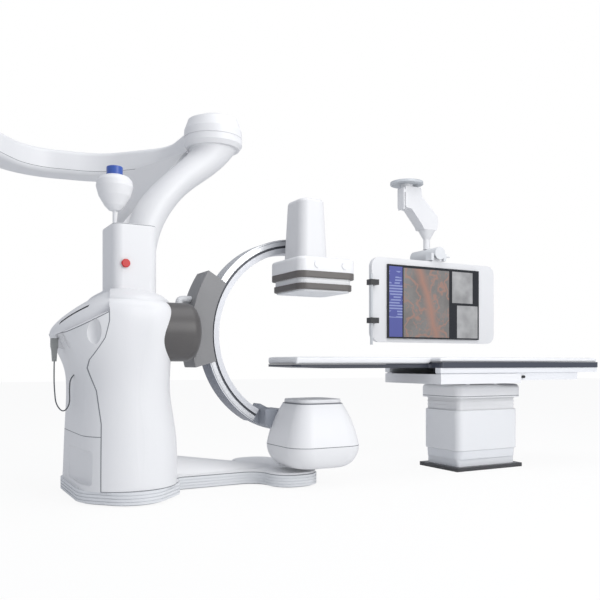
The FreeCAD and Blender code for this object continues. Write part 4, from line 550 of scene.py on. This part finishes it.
haze = screen.noise(3.6, 4.0)
fine = screen.noise(60.0, 2.0)
tissue = screen.blend(haze * 0.8 + fine * 0.2, (0.085, 0.080, 0.078), (0.235, 0.225, 0.215))
wander = screen.noise(2.6, 2.0)
trunk_middle = 0.50 - up_z * 0.14 + (wander - 0.5) * 0.22
trunk = 1.0 - (abs(across_x - trunk_middle) / 0.075).least(1.0)
ridge_a = 1.0 - (abs(screen.noise(3.4, 3.0) - 0.5) / 0.028).least(1.0)
ridge_b = 1.0 - (abs(screen.noise(8.0, 2.0) - 0.5) / 0.022).least(1.0)
vessel = (trunk * 0.9).most(ridge_a * 0.8).most(ridge_b * (haze > 0.46) * 0.6)
picture = screen.blend(vessel, tissue, (0.30, 0.165, 0.125))
bone = screen.blend(screen.noise(7.0, 5.0), (0.10, 0.10, 0.103), (0.46, 0.46, 0.46))
menu_rows = (abs(((up_z * 26.0).math("FRACT")) - 0.5) < 0.24) * (up_z < 0.93) * (up_z > 0.28)
menu_side = screen.noise(11.0, 1.0) > 0.45
menu = screen.blend(menu_rows * menu_side, (0.075, 0.085, 0.26), (0.21, 0.24, 0.42))
shown = screen.blend(field(0.012, 0.148, 0.02, 0.975), (0.012, 0.013, 0.016), menu)
shown = screen.blend(field(0.160, 0.655, 0.02, 0.965), shown, picture)
shown = screen.blend(field(0.690, 0.925, 0.52, 0.965), shown, bone)
shown = screen.blend(field(0.745, 0.985, 0.02, 0.485), shown, bone)
front_only = screen_y < (screen_low[1] + 0.002)
screen.feed("Base Color", screen.blend(front_only, (0.02, 0.022, 0.025), shown))
glow = screen.blend(front_only, (0, 0, 0), shown)
screen.feed("Emission Color", glow)
screen.shader.inputs["Emission Strength"].default_value = 0.35
screen.raise_by(fine, 0.00002)

# %% [markdown]
# ## Dressing the CAD nodes
# Each node of the frame now gets one of the finishes. The list reads like a paint schedule.

# %% Covers with their seams
LID_SLOPE = math.radians(29.7)
LID_SEAM_DROP = 0.0045
LID_OFFSET = -math.sin(LID_SLOPE) * -3.356 + math.cos(LID_SLOPE) * 1.056 - LID_SEAM_DROP
LID_END_X = -3.139


def lid_line(x, y, z):
    """The sloping seam under the lid, as far as the lid reaches."""
    slope_seam = across(-math.sin(LID_SLOPE), math.cos(LID_SLOPE), LID_OFFSET)
    return slope_seam(x, y, z) * (x < LID_END_X)


LID_CENTRE_X, LID_CENTRE_Y = -3.050, 0.200
LID_CENTRE_Z = 1.056 + math.tan(LID_SLOPE) * 0.306
SLOT_SKEW = math.radians(42.2)
SLOT_ALONG, SLOT_SIDE = -0.212, -0.170
SLOT_HALF_LENGTH, SLOT_HALF_WIDTH = 0.1215, 0.0185


def lid_slot(x, y, z):
    """1 in the lid's slot, found in the lid's own tilted and skewed frame. The slot is painted near
    black: painted shade.
    """
    along = (x - LID_CENTRE_X) * math.cos(LID_SLOPE) + (z - LID_CENTRE_Z) * math.sin(LID_SLOPE)
    from_along, from_side = along - SLOT_ALONG, y - (LID_CENTRE_Y + SLOT_SIDE)
    length_way = from_along * math.cos(SLOT_SKEW) - from_side * math.sin(SLOT_SKEW)
    width_way = from_along * math.sin(SLOT_SKEW) + from_side * math.cos(SLOT_SKEW)
    return (abs(length_way) < SLOT_HALF_LENGTH) * (abs(width_way) < SLOT_HALF_WIDTH)


def seam_through(points, half_width=0.0025):
    """A seam along a chain of points, given as x and z."""

    def mask(x, y, z):
        line = None
        for (start_x, start_z), (end_x, end_z) in zip(points, points[1:]):
            slope = (end_x - start_x) / (end_z - start_z)
            near = band(x - (z - start_z) * slope, start_x, half_width)
            part = near * (z > start_z) * (z < end_z)
            line = part if line is None else line.most(part)
        return line

    return mask


REAR_SEAM = [
    (-3.165, 0.06),
    (-3.158, 0.50),
    (-3.180, 0.70),
    (-3.225, 0.84),
    (-3.222, 0.89),
    (-3.158, 1.02),
    (-3.140, 1.12),
    (-3.140, 1.30),
]
rear_line = seam_through(REAR_SEAM)
base_line = across(0, 1, 0.092)
panel_line = across(0, 1, 0.42)
soft_white = white_cover("white cover")
schedule = {
    "body_cover": white_cover("front cover", seams=[lid_line, rear_line, base_line]),
    "rear_cover": white_cover("rear cover", tone=0.78, seams=[lid_line, rear_line, panel_line]),
    "service_panel": white_cover("service panel", tone=0.77, seams=[rear_line, panel_line]),
    "side_lid": white_cover("side lid", seams=[lid_line], hollow=lid_slot),
    "body_collar": soft_white,
    "mast_cover": white_cover("mast cover", seams=[across(0, 1, 1.7815)]),
    "swan_neck": soft_white,
    "laser_head": soft_white,
    "base_deck": white_cover("base deck", seams=[across(0, 1, 0.092)]),
    "boom_cap": soft_white,
    "boom_beam": white_cover("boom shell", tone=0.82, seams=[across(0, 1, 2.432, 0.0016)]),
    "tube_housing_lower": white_cover("tube shell low", tone=0.78, seams=[across(0, 1, 0.292)]),
    "tube_housing_upper": white_cover(
        "tube shell", seams=[across(0, 1, 0.292), across(0, 1, 0.584)]
    ),
    "detector_tower": white_cover("detector tower", tone=0.74),
    "detector_cover": white_cover("detector cover"),
    "carrier": satin_plastic("carrier grey", (0.20, 0.20, 0.205), (0.27, 0.27, 0.275)),
    "display_arm": soft_white,
    "display_frame": soft_white,
    "pedestal_head": white_cover("pedestal head", seams=[across(0, 1, 0.60)]),
    "pedestal_sleeve": white_cover("pedestal sleeve", tone=0.77),
    "pedestal_base": painted_metal("pedestal paint", (0.76, 0.77, 0.79), (0.81, 0.82, 0.83)),
    "pedestal_plinth": painted_metal("plinth paint", (0.72, 0.74, 0.77), (0.78, 0.79, 0.81)),
    "display_post": soft_white,
    "display_yoke": painted_metal("yoke paint", (0.70, 0.72, 0.74), (0.78, 0.79, 0.80)),
    "display_ceiling_plate": painted_metal(
        "ceiling plate paint", (0.52, 0.55, 0.58), (0.60, 0.62, 0.64)
    ),
    "ceiling_turret": painted_metal("turret paint", (0.72, 0.73, 0.75), (0.79, 0.80, 0.81)),
    "base_skirt": satin_plastic(
        "skirt grey", (0.70, 0.72, 0.74), (0.78, 0.79, 0.81), roughness=0.35
    ),
    # The neck web is the neck's white plastic painted darker, tone 0.66: painted shade for a web
    # that faces away from the light.
    "neck_web": white_cover("neck web", tone=0.66),
    "tube_bracket": satin_plastic("bracket grey", (0.26, 0.28, 0.32), (0.36, 0.38, 0.42)),
    "handset_holder": white_cover("handset holder", tone=0.7),
    "float_rail_front": painted_metal("rail paint", (0.74, 0.75, 0.78), (0.80, 0.81, 0.83)),
    "float_rail_rear": painted_metal("rail paint rear", (0.72, 0.73, 0.76), (0.78, 0.79, 0.81)),
    "lateral_carriage": painted_metal("carriage paint", (0.76, 0.77, 0.79), (0.82, 0.82, 0.83)),
    "detector_rail": brushed_metal(
        "guide rail", (0.30, 0.31, 0.33), (0.42, 0.43, 0.45), (40, 40, 3)
    ),
    "c_arc": arc_finish.material,
    "floor_plate": painted_metal("floor plate paint", (0.030, 0.030, 0.033), (0.06, 0.06, 0.065)),
    "chassis_plate": painted_metal("chassis paint", (0.05, 0.05, 0.055), (0.08, 0.08, 0.085)),
    "hub_bearing": brushed_metal("bearing steel", (0.35, 0.35, 0.36), (0.5, 0.5, 0.51)),
    "caster_fork": painted_metal("fork paint", (0.08, 0.08, 0.085), (0.12, 0.12, 0.125)),
    "hub_drum": satin_plastic(
        "drum grey", (0.064, 0.060, 0.060), (0.105, 0.100, 0.098), roughness=0.38
    ),
    "lift_column": brushed_metal(
        "column steel", (0.45, 0.46, 0.48), (0.6, 0.61, 0.63), (60, 60, 3)
    ),
    "lift_ram": brushed_metal("ram steel", (0.5, 0.51, 0.53), (0.64, 0.65, 0.67), (60, 60, 3)),
    "x_ray_tube": brushed_metal("tube insert steel", (0.4, 0.41, 0.43), (0.55, 0.56, 0.58)),
    "tabletop": carbon.material,
    "collision_band_upper": satin_plastic(
        "band grey", (0.105, 0.096, 0.092), (0.145, 0.134, 0.126)
    ),
    "collision_band_lower": satin_plastic(
        "band grey low", (0.095, 0.087, 0.084), (0.130, 0.120, 0.114)
    ),
    "collimator": white_cover("collimator lid", tone=0.74, seams=[across(0, 1, 0.587, 0.003)]),
    "flat_panel": satin_plastic("panel white", (0.74, 0.75, 0.77), (0.80, 0.81, 0.82), grain=800.0),
    "drive_wheel_front": satin_plastic("tyre front", (0.02, 0.02, 0.02), (0.045, 0.045, 0.045)),
    "drive_wheel_rear": satin_plastic("tyre rear", (0.02, 0.02, 0.02), (0.045, 0.045, 0.045)),
    "caster_wheel": satin_plastic("caster tyre", (0.03, 0.03, 0.03), (0.05, 0.05, 0.05)),
    "brake_knob": satin_plastic("knob black", (0.015, 0.015, 0.016), (0.03, 0.03, 0.032)),
    "display_handle": handle.material,
    "estop_button": satin_plastic(
        "stop red", (0.52, 0.010, 0.012), (0.62, 0.020, 0.020), roughness=0.3
    ),
    "laser_cap": satin_plastic("cap blue", (0.035, 0.085, 0.36), (0.06, 0.13, 0.46), roughness=0.3),
    "display_screen": screen.material,
    "handset": satin_plastic("handset grey", (0.28, 0.29, 0.28), (0.36, 0.37, 0.36)),
}
for node, material in schedule.items():
    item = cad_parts[node]
    item.data.materials.clear()
    item.data.materials.append(material)
print("dressed", len(schedule), "nodes")

# %% [markdown]
# ## Grip scoop and foot recess
# The rear cover has a deep finger scoop beside its seam, and the service panel is hollowed
# low down, where a foot would go. Both are carved out of copies of the CAD covers: a tilted
# ellipsoid for the scoop, a rounded block for the recess.


# %% Carved covers
def carve(node, name, cutters):
    """Replace a cover by a copy of it with cutters taken out."""
    piece = bpy.data.objects.new(name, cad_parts[node].data.copy())
    bpy.context.scene.collection.objects.link(piece)
    select_only(piece)
    bpy.ops.mesh.customdata_custom_splitnormals_clear()
    bpy.ops.object.mode_set(mode="EDIT")
    bpy.ops.mesh.select_all(action="SELECT")
    bpy.ops.mesh.remove_doubles(threshold=0.00002)
    bpy.ops.object.mode_set(mode="OBJECT")
    for cutter in cutters:
        add_modifier(piece, "BOOLEAN", operation="DIFFERENCE", solver="EXACT", object=cutter)
        bpy.data.objects.remove(cutter)
    smooth(piece, 32)
    finish_piece(piece, name, "gantry", schedule[node])
    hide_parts(node)
    print(name, len(piece.data.polygons), "faces")


SCOOP_PLACE = (-3.217, -0.310, 1.050)
SCOOP_RADII = (0.046, 0.036, 0.090)
RECESS_PLACE = (-3.321, 0.029, 0.229)
RECESS_SIZE = (0.200, 0.500, 0.216)
bpy.ops.object.select_all(action="DESELECT")
bpy.ops.mesh.primitive_uv_sphere_add(
    segments=48,
    ring_count=24,
    radius=1,
    location=SCOOP_PLACE,
    rotation=(0, math.radians(12), math.radians(-40)),
    scale=SCOOP_RADII,
)
scoop = bpy.context.active_object
settle(scoop)
bpy.ops.mesh.primitive_cube_add(
    size=1, location=RECESS_PLACE, rotation=(0, 0, math.radians(5.57)), scale=RECESS_SIZE
)
hollow = bpy.context.active_object
settle(hollow)
add_modifier(hollow, "BEVEL", width=0.022, segments=5)
carve("rear_cover", "rear_cover_scooped", [scoop])
carve("service_panel", "service_panel_hollowed", [hollow])

# %% [markdown]
# ## The base's skirt and plate
# The skirt is one wall that follows the base's plan, with three grooves round it. A circle is
# laid out along the plan, extruded up level by level, its groove bands are pushed in, and
# Solidify gives the wall. The steel plate inside is a copy of the CAD one, kept within it.

# %% Skirt and plate
BASE_CENTRE_Y = 0.200
PLAN_HALF = [
    (-3.270, 0.330, 0.232),
    (-3.045, 0.570, 0.232),
    (-2.840, 0.570, 0.232),
    (-2.615, 0.330, 0.090),
    (-2.615, 0.172, 0.090),
    (-1.975, 0.172, 0.130),
    (-1.975, 0.470, 0.165),
    (-1.600, 0.470, 0.165),
]
SKIRT_LEVELS = [0.015, 0.030, 0.035, 0.050, 0.055, 0.070, 0.075, 0.090]
GROOVE_DEPTH = 0.005
SKIRT_WALL = 0.034
PLATE_HALF = 0.530
ARC_STEP = math.radians(5)


def rounded_plan(corners):
    """The points of a closed plan whose corners, x, y and radius, are rounded."""
    points = []
    for index, (x, y, radius) in enumerate(corners):
        here = Vector((x, y))
        before = (Vector(corners[index - 1][:2]) - here).normalized()
        after = (Vector(corners[(index + 1) % len(corners)][:2]) - here).normalized()
        half = before.angle(after) / 2
        centre = here + (before + after).normalized() * (radius / math.sin(half))
        start = here + before * (radius / math.tan(half)) - centre
        end = here + after * (radius / math.tan(half)) - centre
        first = math.atan2(start.y, start.x)
        turn = math.atan2(end.y, end.x) - first
        turn = (turn + math.pi) % (2 * math.pi) - math.pi
        steps = max(3, int(abs(turn) / ARC_STEP))
        for step in range(steps + 1):
            angle = first + turn * step / steps
            points.append(centre + Vector((math.cos(angle), math.sin(angle))) * radius)
    return points


far_side = [(x, BASE_CENTRE_Y + y, radius) for x, y, radius in PLAN_HALF]
near_side = [(x, BASE_CENTRE_Y - y, radius) for x, y, radius in reversed(PLAN_HALF)]
plan = rounded_plan(near_side + far_side)
bpy.ops.object.select_all(action="DESELECT")
bpy.ops.mesh.primitive_circle_add(vertices=len(plan), radius=1)
skirt = bpy.context.active_object
for vertex, point in zip(skirt.data.vertices, plan):
    vertex.co = (point.x, point.y, SKIRT_LEVELS[0])
bpy.ops.object.mode_set(mode="EDIT")
bpy.ops.mesh.select_all(action="SELECT")
for low, high in zip(SKIRT_LEVELS, SKIRT_LEVELS[1:]):
    bpy.ops.mesh.extrude_region_move(TRANSFORM_OT_translate={"value": (0, 0, high - low)})
bpy.ops.mesh.select_all(action="SELECT")
bpy.ops.mesh.normals_make_consistent(inside=False)
bpy.ops.object.mode_set(mode="OBJECT")
leftmost = min(skirt.data.polygons, key=lambda face: face.center.x)
if leftmost.normal.x > 0:
    skirt.data.flip_normals()
bpy.ops.object.mode_set(mode="EDIT")
groove_bands = list(zip(SKIRT_LEVELS[1::2], SKIRT_LEVELS[2::2]))
for low, high in groove_bands:
    pick(skirt, "faces", lambda middle, face: low < middle.z < high)
    bpy.ops.mesh.extrude_region_shrink_fatten(TRANSFORM_OT_shrink_fatten={"value": -GROOVE_DEPTH})
bpy.ops.object.mode_set(mode="OBJECT")
add_modifier(skirt, "SOLIDIFY", thickness=SKIRT_WALL, offset=-1)
smooth(skirt, 32)
finish_piece(skirt, "grooved_skirt", "gantry", schedule["base_skirt"])
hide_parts("base_skirt")

plate = bpy.data.objects.new("plate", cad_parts["chassis_plate"].data.copy())
bpy.context.scene.collection.objects.link(plate)
select_only(plate)
bpy.ops.mesh.customdata_custom_splitnormals_clear()
for vertex in plate.data.vertices:
    offset_y = vertex.co.y - BASE_CENTRE_Y
    if abs(offset_y) > PLATE_HALF:
        vertex.co.y = BASE_CENTRE_Y + math.copysign(PLATE_HALF, offset_y)
bpy.ops.object.mode_set(mode="EDIT")
bpy.ops.mesh.select_all(action="SELECT")
bpy.ops.mesh.remove_doubles(threshold=0.00002)
bpy.ops.object.mode_set(mode="OBJECT")
smooth(plate, 32)
finish_piece(plate, "chassis_plate_trimmed", "gantry", schedule["chassis_plate"])
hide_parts("chassis_plate")
print("skirt with", len(plan), "points round its plan")

# %% [markdown]
# ## The mattress
# The pad on the table is foam in a coated cover: narrow under the chest, broad over the
# rails. It starts as one slab, cut where it widens. The broad part is pulled out sideways,
# the whole is remeshed, and a little pressure in a short cloth run gives it its crown.

# %% Mattress
pad_low, pad_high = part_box("mattress")
STEP_X = -0.712
PAD_HALF = 0.225
PAD_UNDERSIDE = 0.878
PAD_STEP_DOWN = 0.0165
PAD_EDGE = 0.008
PAD_VOXEL = 0.009
SHRINK = 0.004
CLOTH_FRAMES = 20
CLOTH_CAP = 0.004
REST_TOP = 0.885
pad_top = pad_high[2]
centre_y = (pad_low[1] + pad_high[1]) / 2
bpy.ops.object.select_all(action="DESELECT")
bpy.ops.mesh.primitive_cube_add(
    size=1,
    location=((pad_low[0] + pad_high[0]) / 2, centre_y, (PAD_UNDERSIDE + pad_top) / 2),
    scale=(
        pad_high[0] - pad_low[0] - SHRINK,
        PAD_HALF * 2 - SHRINK,
        pad_top - PAD_UNDERSIDE - SHRINK,
    ),
)
pad = bpy.context.active_object
settle(pad)
bpy.ops.object.mode_set(mode="EDIT")
bpy.ops.mesh.select_all(action="SELECT")
bpy.ops.mesh.bisect(plane_co=(STEP_X, 0, 0), plane_no=(1, 0, 0))
widen = (pad_high[1] - pad_low[1]) / 2 - PAD_HALF
for side in (-1, 1):
    pick(pad, "faces", lambda middle, face: face.normal.y * side > 0.9 and middle.x > STEP_X)
    bpy.ops.mesh.extrude_region_move(TRANSFORM_OT_translate={"value": (0, side * widen, 0)})
pick(pad, "faces", lambda middle, face: face.normal.z < -0.9 and middle.x < STEP_X)
bpy.ops.mesh.extrude_region_move(TRANSFORM_OT_translate={"value": (0, 0, -PAD_STEP_DOWN)})
bpy.ops.object.mode_set(mode="OBJECT")
round_edges(pad, PAD_EDGE, 3, 40)
add_modifier(pad, "REMESH", mode="VOXEL", voxel_size=PAD_VOXEL)
cloth = pad.modifiers.new("cover", "CLOTH")
cloth.settings.use_pressure = True
cloth.settings.uniform_pressure_force = 1.5
cloth.settings.effector_weights.gravity = 0
rest_shape = [vertex.co.copy() for vertex in pad.data.vertices]
for number in range(1, CLOTH_FRAMES + 1):
    bpy.context.scene.frame_set(number)
select_only(pad)
bpy.ops.object.modifier_apply(modifier=cloth.name)
for vertex, start in zip(pad.data.vertices, rest_shape):
    moved = vertex.co - start
    if moved.length > CLOTH_CAP:
        vertex.co = start + moved.normalized() * CLOTH_CAP
    vertex.co.z = max(vertex.co.z, start.z) if start.z < REST_TOP else vertex.co.z
bpy.context.scene.frame_set(1)
smooth(pad, 60)
vinyl = Finish("coated cover", roughness=0.42)
weave_x, weave_y, _ = vinyl.axes()
weave = (weave_x * 2600.0).math("SINE") * (weave_y * 2600.0).math("SINE")
creases = vinyl.noise(14.0, 4.0)
# The cover's colour follows the crease noise, darker where the creases sink: painted shade in the
# creases.
vinyl.feed("Base Color", vinyl.blend(creases, (0.78, 0.79, 0.81), (0.85, 0.855, 0.865)))
vinyl.feed("Roughness", creases * 0.15 + 0.34)
vinyl.raise_by(weave, 0.00012)
vinyl.raise_by(creases, 0.0012)
finish_piece(pad, "mattress_pad", "tabletop_body", vinyl.material)
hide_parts("mattress")

# %% [markdown]
# ## The supply hose
# A white corrugated hose loops from the hub's shoulder to the carrier. It is built straight:
# a disc is extruded up again and again, out to a crest, along it, in to a trough and along
# that. A Curve modifier then bends it to its path.

# %% Hose
HOSE_ROUTE = [
    (-2.543, 0.130, 1.2195),
    (-2.543, 0.130, 1.290),
    (-2.515, 0.155, 1.318),
    (-2.436, 0.168, 1.315),
]
HOSE_CREST = 0.0260
HOSE_TROUGH = 0.0212
RIB_FLANK = 0.0021
RIB_FLAT = 0.0034
HOSE_SIDES = 24
guide_data = bpy.data.curves.new("hose line", "CURVE")
guide_data.dimensions = "3D"
hose_spline = guide_data.splines.new("NURBS")
hose_spline.points.add(len(HOSE_ROUTE) - 1)
for point, place in zip(hose_spline.points, HOSE_ROUTE):
    point.co = (*place, 1)
hose_spline.order_u = 3
hose_spline.use_endpoint_u = True
hose_spline.resolution_u = 40
hose_guide = bpy.data.objects.new("hose line", guide_data)
bpy.context.scene.collection.objects.link(hose_guide)
rib_count = int(hose_spline.calc_length() / (2 * (RIB_FLANK + RIB_FLAT)))
bpy.ops.object.select_all(action="DESELECT")
bpy.ops.mesh.primitive_circle_add(vertices=HOSE_SIDES, radius=HOSE_TROUGH, fill_type="NGON")
hose = bpy.context.active_object
bpy.ops.object.mode_set(mode="EDIT")
bpy.ops.mesh.select_all(action="SELECT")
rib_steps = [
    (RIB_FLANK, HOSE_CREST / HOSE_TROUGH),
    (RIB_FLAT, 1),
    (RIB_FLANK, HOSE_TROUGH / HOSE_CREST),
    (RIB_FLAT, 1),
]
for rise, growth in rib_steps * rib_count:
    bpy.ops.mesh.extrude_region_move(TRANSFORM_OT_translate={"value": (0, 0, rise)})
    bpy.ops.transform.resize(value=(growth, growth, 1))
bpy.ops.mesh.select_all(action="SELECT")
bpy.ops.mesh.normals_make_consistent(inside=False)
bpy.ops.object.mode_set(mode="OBJECT")
add_modifier(hose, "CURVE", object=hose_guide, deform_axis="POS_Z")
bpy.data.objects.remove(hose_guide)
smooth(hose, 70)
hose_white = satin_plastic("hose white", (0.70, 0.71, 0.73), (0.78, 0.79, 0.80), roughness=0.4)
finish_piece(hose, "corrugated_hose", "c_carrier", hose_white)
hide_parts("supply_hose")
print("hose with", rib_count, "ribs")

# %% [markdown]
# ## The handset
# The hand control hangs at the back of the gantry. It starts as a cube: the middle is cut
# in three bands, the foot is drawn in to a grip, and all edges are rounded.

# %% Handset
grip_low, grip_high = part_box("handset")
bpy.ops.object.select_all(action="DESELECT")
bpy.ops.mesh.primitive_cube_add(
    size=1,
    location=[(low + high) / 2 for low, high in zip(grip_low, grip_high)],
    scale=[high - low for low, high in zip(grip_low, grip_high)],
)
grip = bpy.context.active_object
settle(grip)
HEAD_Z = grip_low[2] + 0.098
WAIST_Z = grip_low[2] + 0.070
bpy.ops.object.mode_set(mode="EDIT")
for cut_z in (WAIST_Z, HEAD_Z):
    bpy.ops.mesh.select_all(action="SELECT")
    bpy.ops.mesh.bisect(plane_co=(0, 0, cut_z), plane_no=(0, 0, 1))
pick(grip, "verts", lambda middle, vertex: abs(middle.z - WAIST_Z) < 0.001)
bpy.ops.transform.resize(value=(0.80, 0.70, 1))
pick(grip, "verts", lambda middle, vertex: middle.z < grip_low[2] + 0.001)
bpy.ops.transform.resize(value=(0.62, 0.52, 1))
pick(grip, "faces", lambda middle, face: face.normal.x < -0.7 and middle.z > HEAD_Z)
bpy.ops.mesh.inset(thickness=0.009)
bpy.ops.mesh.extrude_region_move(TRANSFORM_OT_translate={"value": (0.002, 0, 0)})
bpy.ops.object.mode_set(mode="OBJECT")
round_edges(grip, 0.005, 4, 25)
smooth(grip, 40)
finish_piece(grip, "hand_control", "gantry", schedule["handset"])
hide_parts("handset")

# %% View settings
bpy.context.scene.view_settings.view_transform = "Standard"
